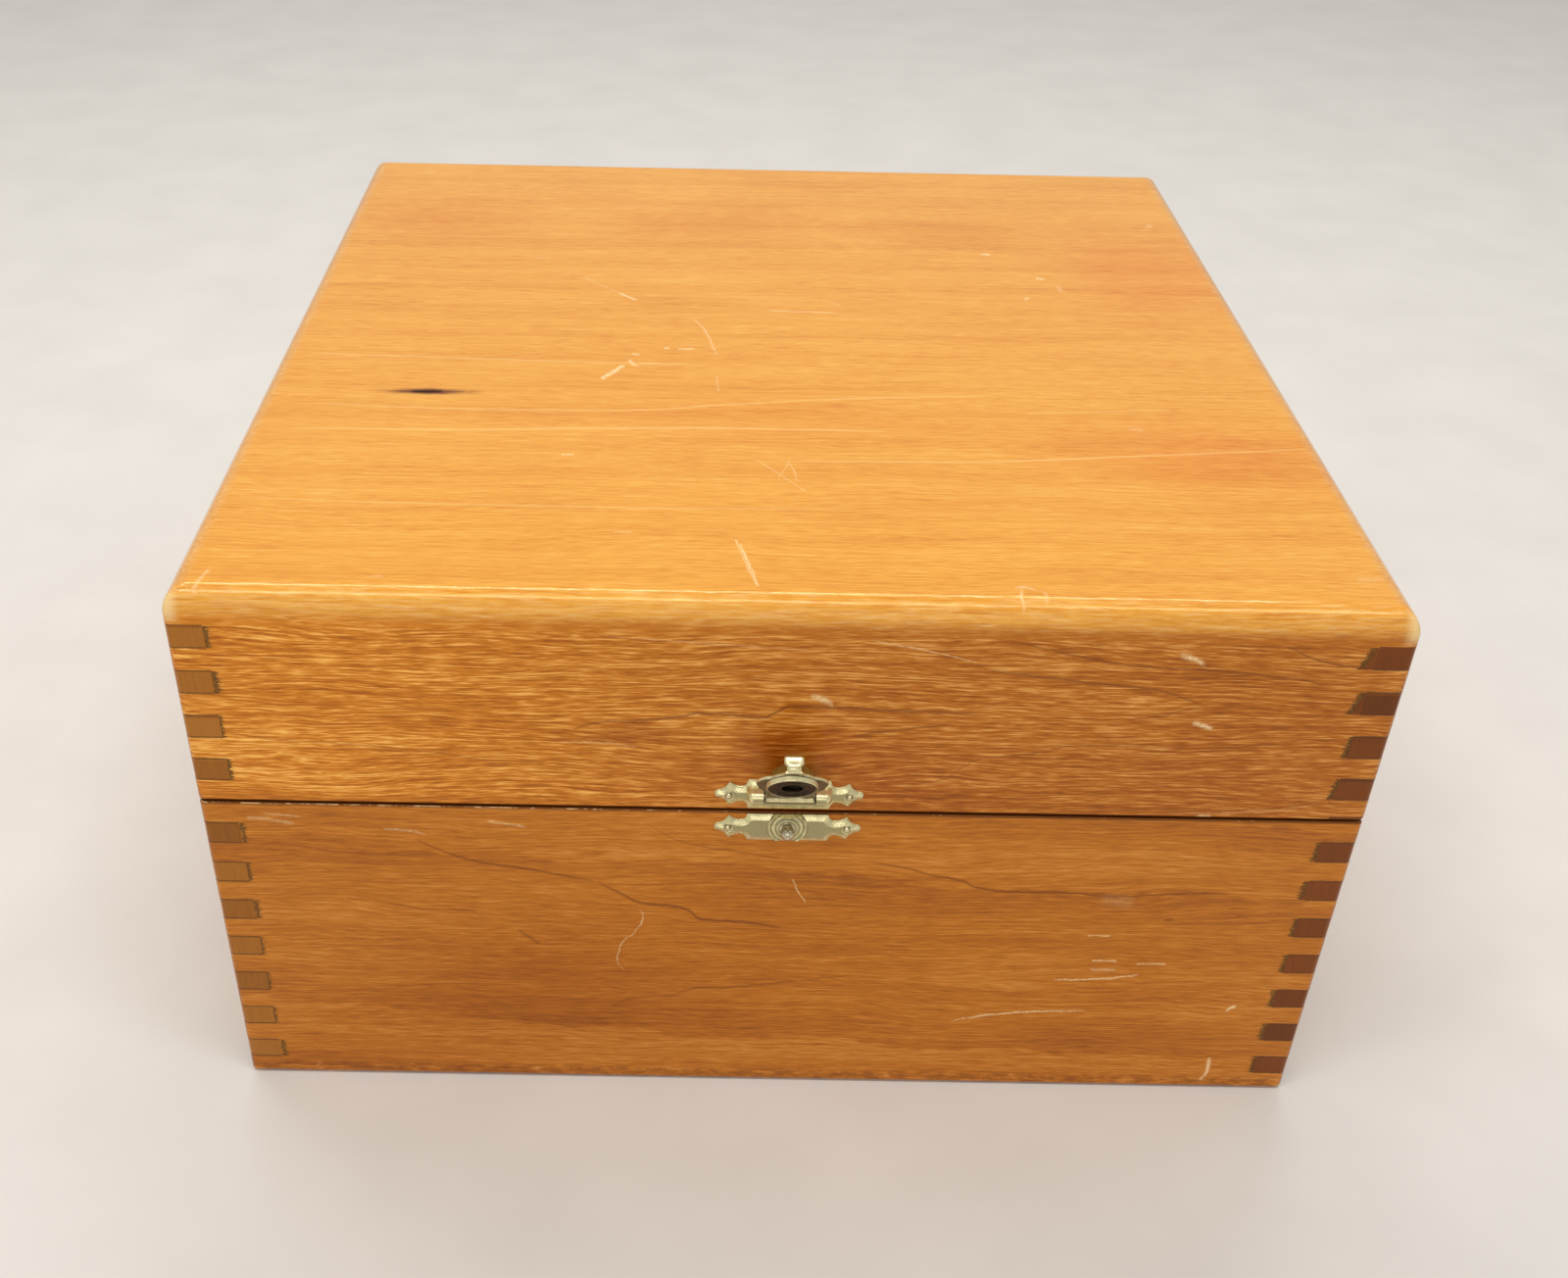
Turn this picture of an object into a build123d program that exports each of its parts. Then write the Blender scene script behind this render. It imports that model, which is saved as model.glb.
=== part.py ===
"""Wooden floppy disk storage box: box-jointed base and lid, rear butt hinges, snap hasp.

Frame: +Z up, front of the box towards -Y, origin at the middle of the flat underside.
Every length is in millimetres. The lid is closed and the hasp is flipped up.
"""
from build123d import *
import os
from math import cos, sin, radians, sqrt

# Case
WIDTH = 298.0  # across the front
DEPTH = 317.0  # front to back
WALL = 9.3  # thickness of the eight wall boards
FINGER = 6.6  # height of one finger of the corner joints
BASE_FINGERS = 15
LID_FINGERS = 8
LID_GAP = 0.8  # open line between lid and base
TOP_THICK = 8.9
TOP_ROUND = 6.3  # rounded upper edge all round the lid
CORNER_ROUND = 1.8  # upright corners
FOOT_BEVEL = 1.2  # lower outer edge
EASED_EDGE = 0.45  # arrises along the opening line
KERF_SLIVER = 1.2  # rest of a sawn-through finger, front right corner of the lid

# Inside of the base
FLOOR_THICK = 6.0
RABBET = 4.65  # how far the floor is let into the walls
PARTITION_THICK = 6.0
PARTITION_TOP = 92.0
DADO = 3.0  # how far the partition is let into front and back wall
PARTITION_ROUND = 1.5

# Latch
LATCH_X = 1.5  # the latch sits a little right of the middle
LOWER_PLATE_Z = 94.55
LOWER_PLATE_HALF = 4.2
UPPER_PLATE_Z = 105.25
UPPER_PLATE_HALF = 4.5
PLATE_RIM = 0.4  # thickness of a plate at its edge
PLATE_RISE = 0.8  # how far the pillow stands above the rim
PLATE_TAPER = 44.0
NAIL_SPACING = 30.6
NAIL_HEAD_R = 0.78
NAIL_HEAD_HIGH = 0.5
NAIL_SHANK_R = 0.5
NAIL_LENGTH = 7.0
HASP_OUT = 3.4  # hasp pin axis, proud of the lid's face
HASP_Z = 106.5
HASP_PIN_R = 0.75
HASP_PIN_LENGTH = 19.4
HASP_BORE_R = 0.8  # running bore of the leaf's barrel
BARREL_R = 1.45
BARREL_HALF = 6.15
KNUCKLE_R = 1.6
KNUCKLE_START = 6.35
KNUCKLE_END = 10.5
WINDOW_HALF_HEIGHT = 1.75
STUD_Z = 94.85
HASP_OPEN = 147.5  # hasp angle up from its closed, hanging position
SHEET_INNER = -0.6  # leaf sheet, measured outwards from the pin axis
SHEET_OUTER = 0.1
NECK_HALF = 1.95
TAB_HALF = 2.4
TAB_START = 18.6  # measured along the leaf from the pin axis
TAB_TURN = 18.8
TAB_BEND = 0.9
TAB_FLARE = 1.3  # where the upturned flange widens
TAB_TOP = 3.65
CUP_R = 6.35
SOCKET_R = 5.9
SOCKET_HOLE_R = 2.65
CUP_FACE = -2.05
DOME_RISE = 4.5
DOME_WALL = 0.6
SPRING_WIRE_R = 0.25
SPRING_HALF = 2.3
BALL_R = 1.9
BALL_OUT = 3.2

# Rear hinges
HINGE_X = 92.0  # middle of each hinge from the middle of the box
HINGE_LENGTH = 38.0
HINGE_OUT = 1.7  # pin axis, proud of the back
HINGE_BARREL_R = 1.6
HINGE_PIN_R = 0.9
HINGE_BORE_R = 0.95  # running bore of the lid's knuckles
HINGE_KNUCKLES = 3
KNUCKLE_CLEARANCE = 0.2
LEAF_THICK = 1.0
LEAF_REACH = 8.2  # how far a leaf reaches in over the wall's edge
LEAF_CLEARANCE = 0.3  # between the two leaves when closed
SCREW_SPACING = 22.0
SCREW_IN = 4.6  # screw line, in from the back face
SCREW_HEAD_R = 2.0
SCREW_SHANK_R = 1.1
SCREW_LENGTH = 9.0
SCREW_SLOT = 0.6

# Worked out from the sizes above
BASE_TOP = BASE_FINGERS * FINGER
LID_BOTTOM = BASE_TOP + LID_GAP
LID_WALL_TOP = LID_BOTTOM + LID_FINGERS * FINGER
HALF_W = WIDTH / 2
HALF_D = DEPTH / 2
INNER_W = WIDTH - 2 * WALL
INNER_D = DEPTH - 2 * WALL
FLOOR_W = INNER_W + 2 * RABBET
FLOOR_D = INNER_D + 2 * RABBET
HINGE_Z = BASE_TOP + LID_GAP / 2
HINGE_Y = HALF_D + HINGE_OUT
PLATE_FACE = PLATE_RIM + PLATE_RISE
SHEET = SHEET_OUTER - SHEET_INNER
SOCKET_REACH = HASP_Z - STUD_Z  # pin axis to the middle of the snap socket
LIP_TOP = CUP_FACE + 1.35  # top of the lip round the socket's hole

LEAF_TILT = radians(HASP_OPEN - 90)  # leaf direction above level, pointing forwards
HASP_AXIS = Vector(LATCH_X, -HALF_D - HASP_OUT, HASP_Z)
ALONG_LEAF = Vector(0, -cos(LEAF_TILT), sin(LEAF_TILT))
OUT_OF_LEAF = Vector(0, sin(LEAF_TILT), cos(LEAF_TILT))
LEAF = Plane(origin=HASP_AXIS, x_dir=(-1, 0, 0), z_dir=OUT_OF_LEAF)
LEAF_SIDE = Plane(origin=HASP_AXIS, x_dir=ALONG_LEAF, z_dir=(-1, 0, 0))
SOCKET_MIDDLE = HASP_AXIS + ALONG_LEAF * SOCKET_REACH
SOCKET_AXIS = Axis(SOCKET_MIDDLE, OUT_OF_LEAF)
SOCKET = Plane(origin=SOCKET_MIDDLE, x_dir=(-1, 0, 0), z_dir=OUT_OF_LEAF)
SOCKET_SIDE = Plane(origin=SOCKET_MIDDLE, x_dir=ALONG_LEAF, z_dir=(-1, 0, 0))

os.makedirs("parts", exist_ok=True)


def finish(builder, name):
    """Label a finished piece and write its file."""
    builder.part.label = name
    export_step(builder.part, f"parts/{name}.step")


# Case boards

def levels(bottom, count, first):
    """Middle height of every second finger level, starting at the level called first."""
    return [bottom + (i + 0.5) * FINGER for i in range(first, count, 2)]


def envelope(bottom, top, eased_z, foot):
    """Outer shape of the base or the lid walls, with its corners and its rims eased."""
    with BuildPart() as shape:
        with BuildSketch(Plane.XY.offset(bottom)):
            RectangleRounded(WIDTH, DEPTH, CORNER_ROUND)
        extrude(amount=top - bottom)
        if foot:
            chamfer(shape.faces().sort_by(Axis.Z)[0].edges(), FOOT_BEVEL)
        rims = shape.edges().group_by(Axis.Z)
        chamfer(rims[-1] if eased_z == top else rims[0], EASED_EDGE)
    return shape.part


BASE_SHAPE = envelope(0, BASE_TOP, BASE_TOP, True)
LID_SHAPE = envelope(LID_BOTTOM, LID_WALL_TOP, LID_BOTTOM, False)


def cross_wall(shape, side, bottom, count):
    """Front (side -1) or back (side +1) board, notched at both ends for the side boards."""
    height = count * FINGER
    face_y = side * HALF_D if side < 0 else HALF_D - WALL
    with BuildPart() as wall:
        with BuildSketch(Plane(origin=(0, face_y, 0), x_dir=(1, 0, 0), z_dir=(0, -1, 0))):
            with Locations((0, bottom + height / 2)):
                Rectangle(WIDTH, height)
            ends = [(x, z) for x in (-HALF_W + WALL / 2, HALF_W - WALL / 2) for z in levels(bottom, count, 1)]
            with Locations(ends):
                Rectangle(WALL, FINGER, mode=Mode.SUBTRACT)
        extrude(amount=-WALL)
        add(shape, mode=Mode.INTERSECT)
    return wall


def side_wall(shape, side, bottom, count):
    """Left (side -1) or right (side +1) board, notched at both ends for front and back."""
    height = count * FINGER
    face_x = side * HALF_W if side < 0 else HALF_W - WALL
    with BuildPart() as wall:
        with BuildSketch(Plane.YZ.offset(face_x)):
            with Locations((0, bottom + height / 2)):
                Rectangle(DEPTH, height)
            ends = [(y, z) for y in (-HALF_D + WALL / 2, HALF_D - WALL / 2) for z in levels(bottom, count, 0)]
            with Locations(ends):
                Rectangle(WALL, FINGER, mode=Mode.SUBTRACT)
        extrude(amount=WALL)
        add(shape, mode=Mode.INTERSECT)
    return wall


def case_floor():
    """Floor board, let into a rabbet so that its underside is flush with the walls."""
    with BuildPart() as board:
        with BuildSketch():
            Rectangle(FLOOR_W, FLOOR_D)
        extrude(amount=FLOOR_THICK)
    return board


def partition_board():
    """Upright board from front to back that parts the base into two bays."""
    with BuildPart() as board:
        with BuildSketch(Plane.XY.offset(FLOOR_THICK)):
            Rectangle(PARTITION_THICK, INNER_D + 2 * DADO)
        extrude(amount=PARTITION_TOP - FLOOR_THICK)
        long_top = board.edges().group_by(Axis.Z)[-1].filter_by(Axis.Y)
        fillet(long_top, PARTITION_ROUND)
    return board


def lid_board():
    """Top board of the lid, lying on the four lid walls, rounded over all round."""
    with BuildPart() as board:
        with BuildSketch(Plane.XY.offset(LID_WALL_TOP)):
            RectangleRounded(WIDTH, DEPTH, CORNER_ROUND)
        extrude(amount=TOP_THICK)
        fillet(board.faces().sort_by(Axis.Z)[-1].edges(), TOP_ROUND)
    return board


# Latch

def at_front(z):
    """Plane on the front face, at the latch's middle and at height z."""
    return Plane(origin=(LATCH_X, -HALF_D, z), x_dir=(1, 0, 0), z_dir=(0, -1, 0))


def plate_outline(plane, half_height):
    """Latch plate: straight middle, hollow waists and an arrow-shaped point at each end."""
    middle_half = 10.3
    waist_x, waist_half = 12.9, 2.5
    barb_x, barb_half = 15.4, 3.5
    notch_x, notch_half = 17.2, 1.25
    tip_x, tip_half = 18.85, 1.0
    with BuildSketch(plane) as blank:
        with BuildLine():
            top = Line((0, half_height), (middle_half, half_height))
            waist = ThreePointArc(top @ 1, (waist_x, waist_half), (barb_x, barb_half))
            barb = ThreePointArc(waist @ 1, (barb_x + 0.95, 2.1), (notch_x, notch_half))
            lip = Line(barb @ 1, (tip_x, tip_half))
            Line(lip @ 1, (tip_x, 0))
            mirror(about=Plane.XZ)
            mirror(about=Plane.YZ)
        make_face()
    return blank.sketch


def stamped_plate(z, half_height):
    """Pillow-shaped plate: a thin rim that rises to a flat raised panel."""
    with BuildPart() as plate:
        extrude(plate_outline(at_front(z), half_height), amount=PLATE_RIM)
        extrude(plate.faces().sort_by(Axis.Y)[0], amount=PLATE_RISE, taper=PLATE_TAPER)
    return plate.part


def nail(plane):
    """Round-headed escutcheon pin, driven square into the face that the plane lies on."""
    with BuildPart() as pin:
        with BuildSketch(plane):
            Circle(NAIL_SHANK_R)
        extrude(amount=-NAIL_LENGTH)
        with BuildSketch(plane):
            Circle(NAIL_HEAD_R)
        extrude(amount=NAIL_HEAD_HIGH, taper=40)
    return pin.part


def nail_pair(z):
    """The two pins of one latch plate."""
    with BuildPart() as pair:
        for x in (-NAIL_SPACING / 2, NAIL_SPACING / 2):
            add(nail(Plane(origin=(LATCH_X + x, -HALF_D - PLATE_FACE, z), x_dir=(1, 0, 0), z_dir=(0, -1, 0))))
    return pair


def knuckle(side):
    """Hump rolled out of the upper plate that holds one end of the hasp pin."""
    middle = LATCH_X + side * KNUCKLE_START
    round_x = KNUCKLE_END - KNUCKLE_R - KNUCKLE_START
    with BuildPart() as hump:
        with BuildSketch(Plane(origin=(middle, -HALF_D, HASP_Z), x_dir=(side, 0, 0), z_dir=(0, -1, 0))):
            with Locations((round_x / 2, 0)):
                Rectangle(round_x, 2 * KNUCKLE_R)
            with Locations((round_x, 0)):
                Circle(KNUCKLE_R)
        extrude(amount=HASP_OUT)
        with BuildSketch(Plane(origin=(middle, -HALF_D - HASP_OUT, HASP_Z), x_dir=(side, 0, 0), z_dir=(0, -1, 0))):
            with BuildLine():
                start = Line((0, 0), (0, KNUCKLE_R))
                ridge = Line(start @ 1, (round_x, KNUCKLE_R))
                nose = ThreePointArc(ridge @ 1, (round_x + KNUCKLE_R * sqrt(0.5), KNUCKLE_R * sqrt(0.5)),
                                     (round_x + KNUCKLE_R, 0))
                Line(nose @ 1, (0, 0))
            make_face()
        revolve(axis=Axis((middle, -HALF_D - HASP_OUT, HASP_Z), (1, 0, 0)), revolution_arc=360)
    return hump.part


def across(origin, radius, length):
    """Round bar along X, with its middle at the origin given."""
    with BuildPart() as bar:
        with BuildSketch(Plane(origin=origin, x_dir=(0, 1, 0), z_dir=(1, 0, 0))):
            Circle(radius)
        extrude(amount=length / 2, both=True)
    return bar.part


def upper_plate():
    """Plate on the lid, with a window for the hasp's barrel between its two knuckles."""
    with BuildPart() as plate:
        add(stamped_plate(UPPER_PLATE_Z, UPPER_PLATE_HALF))
        for side in (-1, 1):
            add(knuckle(side))
        with BuildSketch(at_front(HASP_Z)):
            Rectangle(2 * KNUCKLE_START, 2 * WINDOW_HALF_HEIGHT)
        extrude(amount=PLATE_FACE, mode=Mode.SUBTRACT)
        add(across(HASP_AXIS, HASP_PIN_R, HASP_PIN_LENGTH), mode=Mode.SUBTRACT)
        add(upper_nails.part, mode=Mode.SUBTRACT)
    return plate


def lower_plate():
    """Plate on the base, with ring steps round the stud."""
    ring_outer, ring_inner, ring_depth = 3.7, 3.1, 0.25
    with BuildPart() as plate:
        add(stamped_plate(LOWER_PLATE_Z, LOWER_PLATE_HALF))
        with BuildSketch(at_front(STUD_Z).offset(PLATE_FACE)):
            Circle(ring_outer)
            Circle(ring_inner, mode=Mode.SUBTRACT)
        extrude(amount=-ring_depth, mode=Mode.SUBTRACT)
        add(snap_stud.part, mode=Mode.SUBTRACT)
        add(lower_nails.part, mode=Mode.SUBTRACT)
    return plate


def stud():
    """Turned ball stud, riveted through the lower plate into the wood."""
    shank_r, shank_depth = 1.1, 3.0
    collar_r, collar_out = 2.25, 1.55
    neck_r, nub_r, nub_out = 1.25, 0.6, 5.6
    neck_join = BALL_OUT - sqrt(BALL_R ** 2 - neck_r ** 2)
    nub_join = BALL_OUT + sqrt(BALL_R ** 2 - nub_r ** 2)
    foot = Plane(origin=(LATCH_X, -HALF_D, STUD_Z), x_dir=(0, 0, 1), z_dir=(1, 0, 0))
    with BuildPart() as body:
        with BuildSketch(foot):
            with BuildLine():
                profile = Polyline((0, -shank_depth), (shank_r, -shank_depth), (shank_r, PLATE_FACE),
                                   (collar_r, PLATE_FACE), (collar_r - 0.2, collar_out), (neck_r, collar_out),
                                   (neck_r, neck_join))
                ball = ThreePointArc(profile @ 1, (BALL_R, BALL_OUT), (nub_r, nub_join))
                nub = Polyline(ball @ 1, (nub_r, nub_out), (0, nub_out))
                Line(nub @ 1, profile @ 0)
            make_face()
        revolve(axis=Axis((LATCH_X, -HALF_D, STUD_Z), (0, -1, 0)), revolution_arc=360)
    return body


def leaf_outline():
    """Flat shape of the hasp leaf: barrel edge, rounded wings and shoulders of the tab."""
    with BuildSketch(LEAF.offset(SHEET_INNER)) as blank:
        with BuildLine():
            root = Line((0, 0), (BARREL_HALF, 0))
            cheek = Line(root @ 1, (BARREL_HALF, 4.6))
            flare = ThreePointArc(cheek @ 1, (6.6, 6.6), (8.0, 8.0))
            wing = ThreePointArc(flare @ 1, (8.75, 9.9), (8.9, 12.4))
            shoulder = ThreePointArc(wing @ 1, (7.6, 14.9), (4.3, 16.2))
            throat = ThreePointArc(shoulder @ 1, (2.9, 17.2), (NECK_HALF, 18.4))
            neck = Line(throat @ 1, (NECK_HALF, TAB_START))
            Line(neck @ 1, (0, TAB_START))
            mirror(about=Plane.YZ)
        make_face()
        with Locations((0, SOCKET_REACH)):
            Circle(SOCKET_R, mode=Mode.SUBTRACT)
    return blank.sketch


def dome_profile():
    """Half section of the snap cup, and of the dome over its stepped hollow."""
    rim_r = CUP_R - 0.15
    apex = SHEET_OUTER + DOME_RISE
    ball_r = (rim_r ** 2 + DOME_RISE ** 2) / (2 * DOME_RISE)
    centre = apex - ball_r
    mid = rim_r * 0.55
    hollow_r = CUP_R / 2
    hollow_step = SHEET_OUTER - DOME_WALL / 2
    with BuildSketch(SOCKET_SIDE) as section:
        with BuildLine():
            Polyline((0, apex - DOME_WALL), (hollow_r, apex - 2 * DOME_WALL), (SOCKET_R, hollow_step),
                     (SOCKET_R, CUP_FACE), (CUP_R, CUP_FACE), (CUP_R, SHEET_OUTER), (rim_r, SHEET_OUTER))
            ThreePointArc((rim_r, SHEET_OUTER), (mid, centre + sqrt(ball_r ** 2 - mid ** 2)), (0, apex))
            Line((0, apex), (0, apex - DOME_WALL))
        make_face()
    return section.sketch


def tab_profile():
    """Side section of the finger tab: it runs on along the leaf, then turns up outwards."""
    with BuildSketch(LEAF_SIDE) as section:
        with BuildLine():
            under = Line((TAB_START, SHEET_INNER), (TAB_TURN, SHEET_INNER))
            bend = CenterArc((TAB_TURN, SHEET_OUTER + TAB_BEND), TAB_BEND + SHEET, -90, 90)
            flange = Polyline(bend @ 1, (TAB_TURN + TAB_BEND + SHEET, TAB_TOP), (TAB_TURN + TAB_BEND, TAB_TOP),
                              (TAB_TURN + TAB_BEND, SHEET_OUTER + TAB_BEND))
            CenterArc((TAB_TURN, SHEET_OUTER + TAB_BEND), TAB_BEND, -90, 90)
            Polyline((TAB_TURN, SHEET_OUTER), (TAB_START, SHEET_OUTER), under @ 0)
        make_face()
    return section.sketch


def hasp():
    """Hasp leaf in one piece: rolled barrel, winged sheet, snap cup with its dome, finger tab."""
    flare = TAB_TOP - TAB_FLARE
    with BuildPart() as leaf:
        add(across(HASP_AXIS, BARREL_R, 2 * BARREL_HALF))
        extrude(leaf_outline(), amount=SHEET)
        revolve(dome_profile(), axis=SOCKET_AXIS, revolution_arc=360)
        extrude(tab_profile(), amount=NECK_HALF, both=True)
        with BuildSketch(LEAF_SIDE):
            with Locations((TAB_TURN + TAB_BEND + SHEET / 2, TAB_TOP - flare / 2)):
                Rectangle(SHEET, flare)
        extrude(amount=TAB_HALF, both=True)
        add(across(HASP_AXIS, HASP_BORE_R, 3 * BARREL_HALF), mode=Mode.SUBTRACT)
    return leaf


def socket():
    """Dished ring that is pressed into the cup, with a turned-in lip round its hole."""
    face_in, back, lip_r = CUP_FACE + 0.4, CUP_FACE + 0.8, 3.2
    with BuildPart() as ring:
        with BuildSketch(SOCKET_SIDE):
            with BuildLine():
                Polyline((SOCKET_R, CUP_FACE + 0.15), (SOCKET_HOLE_R, face_in), (SOCKET_HOLE_R, LIP_TOP),
                         (lip_r, LIP_TOP), (lip_r, back), (SOCKET_R, back - 0.1), close=True)
            make_face()
        revolve(axis=SOCKET_AXIS, revolution_arc=360)
    return ring


def socket_spring():
    """Bow of wire that lies on the socket's lip and grips the stud's neck."""
    leg_end, leg_turn, bow = -3.3, 2.4, 3.9
    level = LIP_TOP + SPRING_WIRE_R
    with BuildPart() as wire:
        with BuildLine(SOCKET.offset(level)) as path:
            Polyline((-SPRING_HALF, leg_end), (-SPRING_HALF, leg_turn), (-SPRING_HALF / 2, bow),
                     (SPRING_HALF / 2, bow), (SPRING_HALF, leg_turn), (SPRING_HALF, leg_end))
        with BuildSketch(Plane(origin=path.line @ 0, z_dir=path.line % 0)):
            Circle(SPRING_WIRE_R)
        sweep(path=path.line, transition=Transition.RIGHT)
    return wire


# Rear hinges

def hinge_leaf(x, side):
    """One leaf of a butt hinge: side -1 holds the pin on the base, +1 turns with the lid."""
    pitch = HINGE_LENGTH / HINGE_KNUCKLES
    own = range(0, HINGE_KNUCKLES, 2) if side < 0 else range(1, HINGE_KNUCKLES, 2)
    middles = [x - HINGE_LENGTH / 2 + (i + 0.5) * pitch for i in own]
    width = pitch - KNUCKLE_CLEARANCE
    bore_r = HINGE_PIN_R if side < 0 else HINGE_BORE_R
    near = LEAF_CLEARANCE / 2
    plate_end = HINGE_OUT + LEAF_REACH
    plate_start = HINGE_BARREL_R + 0.15
    with BuildPart() as leaf:
        with BuildSketch(Plane.XY.offset(HINGE_Z + side * near)):
            with Locations((x, HINGE_Y - (plate_start + plate_end) / 2)):
                Rectangle(HINGE_LENGTH, plate_end - plate_start)
            with Locations([(m, HINGE_Y - plate_start / 2) for m in middles]):
                Rectangle(width, plate_start)
        extrude(amount=side * LEAF_THICK)
        for m in middles:
            add(across((m, HINGE_Y, HINGE_Z), HINGE_BARREL_R, width))
        add(across((x, HINGE_Y, HINGE_Z), bore_r, 2 * HINGE_LENGTH), mode=Mode.SUBTRACT)
        for screw_x in (x - SCREW_SPACING / 2, x + SCREW_SPACING / 2):
            add(screw(screw_x, side), mode=Mode.SUBTRACT)
    return leaf


def screw_face(x, side):
    """Middle of a screw's head, on the leaf's face towards the other leaf."""
    return (x, HALF_D - SCREW_IN, HINGE_Z + side * LEAF_CLEARANCE / 2)


def screw(x, side):
    """Countersunk screw, its head flush with the leaf and its shank in the wall."""
    with BuildPart() as body:
        with BuildSketch(Plane(origin=screw_face(x, side), x_dir=(1, 0, 0), z_dir=(0, -side, 0))):
            with BuildLine():
                Polyline((0, 0), (SCREW_HEAD_R, 0), (SCREW_SHANK_R, SCREW_HEAD_R - SCREW_SHANK_R),
                         (SCREW_SHANK_R, SCREW_LENGTH), (0, SCREW_LENGTH), close=True)
            make_face()
        revolve(axis=Axis(screw_face(x, side), (0, 0, 1)), revolution_arc=360)
    return body.part


def screw_set(side):
    """The four slotted screws of the leaves on the base (side -1) or on the lid (side +1)."""
    with BuildPart() as screws:
        for x in (-HINGE_X, HINGE_X):
            for screw_x in (x - SCREW_SPACING / 2, x + SCREW_SPACING / 2):
                add(screw(screw_x, side))
                with BuildSketch(Plane(origin=screw_face(screw_x, side), z_dir=(0, 0, side))):
                    Rectangle(3 * SCREW_HEAD_R, SCREW_SLOT)
                extrude(amount=SCREW_SLOT, mode=Mode.SUBTRACT)
    return screws


def mortise(x, side):
    """Shallow recess in the edge of a back wall for one hinge leaf."""
    near = HINGE_Z + side * LEAF_CLEARANCE / 2
    with BuildPart() as recess:
        with BuildSketch(Plane.XY.offset(near)):
            with Locations((x, HALF_D - LEAF_REACH / 2 + 1)):
                Rectangle(HINGE_LENGTH, LEAF_REACH + 2)
        extrude(amount=side * LEAF_THICK)
    return recess.part


# Fasteners first, because the pieces they hold are cut to fit them
upper_nails = nail_pair(UPPER_PLATE_Z - 0.3)
lower_nails = nail_pair(LOWER_PLATE_Z)
snap_stud = stud()
base_hinge_screws = screw_set(-1)
lid_hinge_screws = screw_set(1)
finish(upper_nails, "upper_plate_nails")
finish(lower_nails, "lower_plate_nails")
finish(snap_stud, "snap_stud")
finish(base_hinge_screws, "base_hinge_screws")
finish(lid_hinge_screws, "lid_hinge_screws")

# Base
floor_panel = case_floor()
partition = partition_board()
finish(floor_panel, "floor_panel")
finish(partition, "centre_partition")

with BuildPart() as dado:
    with BuildSketch(Plane.XY.offset(FLOOR_THICK)):
        Rectangle(PARTITION_THICK, INNER_D + 2 * DADO)
    extrude(amount=BASE_TOP)

for side, name in ((-1, "base_front_wall"), (1, "base_back_wall")):
    with BuildPart() as base_cross:
        add(cross_wall(BASE_SHAPE, side, 0, BASE_FINGERS).part)
        add(floor_panel.part, mode=Mode.SUBTRACT)
        add(dado.part, mode=Mode.SUBTRACT)
        if side < 0:
            add(lower_nails.part, mode=Mode.SUBTRACT)
            add(snap_stud.part, mode=Mode.SUBTRACT)
        else:
            add([mortise(-HINGE_X, -1), mortise(HINGE_X, -1)], mode=Mode.SUBTRACT)
            add(base_hinge_screws.part, mode=Mode.SUBTRACT)
    finish(base_cross, name)

for side, name in ((-1, "base_left_wall"), (1, "base_right_wall")):
    with BuildPart() as base_side:
        add(side_wall(BASE_SHAPE, side, 0, BASE_FINGERS).part)
        add(floor_panel.part, mode=Mode.SUBTRACT)
    finish(base_side, name)

# Lid
top_panel = lid_board()
finish(top_panel, "top_panel")

with BuildPart() as sliver:
    with BuildSketch(Plane.XY.offset(LID_BOTTOM)):
        with Locations((HALF_W - WALL / 2, -HALF_D + WALL / 2)):
            Rectangle(WALL, WALL)
    extrude(amount=KERF_SLIVER)
    add(LID_SHAPE, mode=Mode.INTERSECT)

for side, name in ((-1, "lid_front_wall"), (1, "lid_back_wall")):
    with BuildPart() as lid_cross:
        add(cross_wall(LID_SHAPE, side, LID_BOTTOM, LID_FINGERS).part)
        if side < 0:
            add(sliver.part, mode=Mode.SUBTRACT)
            add(upper_nails.part, mode=Mode.SUBTRACT)
        else:
            add([mortise(-HINGE_X, 1), mortise(HINGE_X, 1)], mode=Mode.SUBTRACT)
            add(lid_hinge_screws.part, mode=Mode.SUBTRACT)
    finish(lid_cross, name)

for side, name in ((-1, "lid_left_wall"), (1, "lid_right_wall")):
    with BuildPart() as lid_side:
        add(side_wall(LID_SHAPE, side, LID_BOTTOM, LID_FINGERS).part)
        if side > 0:
            add(sliver.part)
    finish(lid_side, name)

# Latch
finish(upper_plate(), "latch_upper_plate")
finish(lower_plate(), "latch_lower_plate")
finish(hasp(), "hasp_leaf")
finish(socket(), "snap_socket")
finish(socket_spring(), "socket_spring")

with BuildPart() as hasp_pin:
    add(across(HASP_AXIS, HASP_PIN_R, HASP_PIN_LENGTH))
finish(hasp_pin, "hasp_pin")

# Hinges
for x, name in ((-HINGE_X, "left"), (HINGE_X, "right")):
    finish(hinge_leaf(x, -1), f"{name}_hinge_base_leaf")
    finish(hinge_leaf(x, 1), f"{name}_hinge_lid_leaf")
    with BuildPart() as hinge_pin:
        add(across((x, HINGE_Y, HINGE_Z), HINGE_PIN_R, HINGE_LENGTH))
    finish(hinge_pin, f"{name}_hinge_pin")
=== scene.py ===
"""Looks of the wooden disk storage box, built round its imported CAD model.

Metres, +Z up, front of the box towards -Y, as in the CAD. Sizes and places on the box are
named in millimetres, and MM turns them into metres.
"""
from math import atan2, cos, hypot, pi, radians, sin

import bpy
import bmesh
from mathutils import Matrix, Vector
from mathutils.kdtree import KDTree


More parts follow.
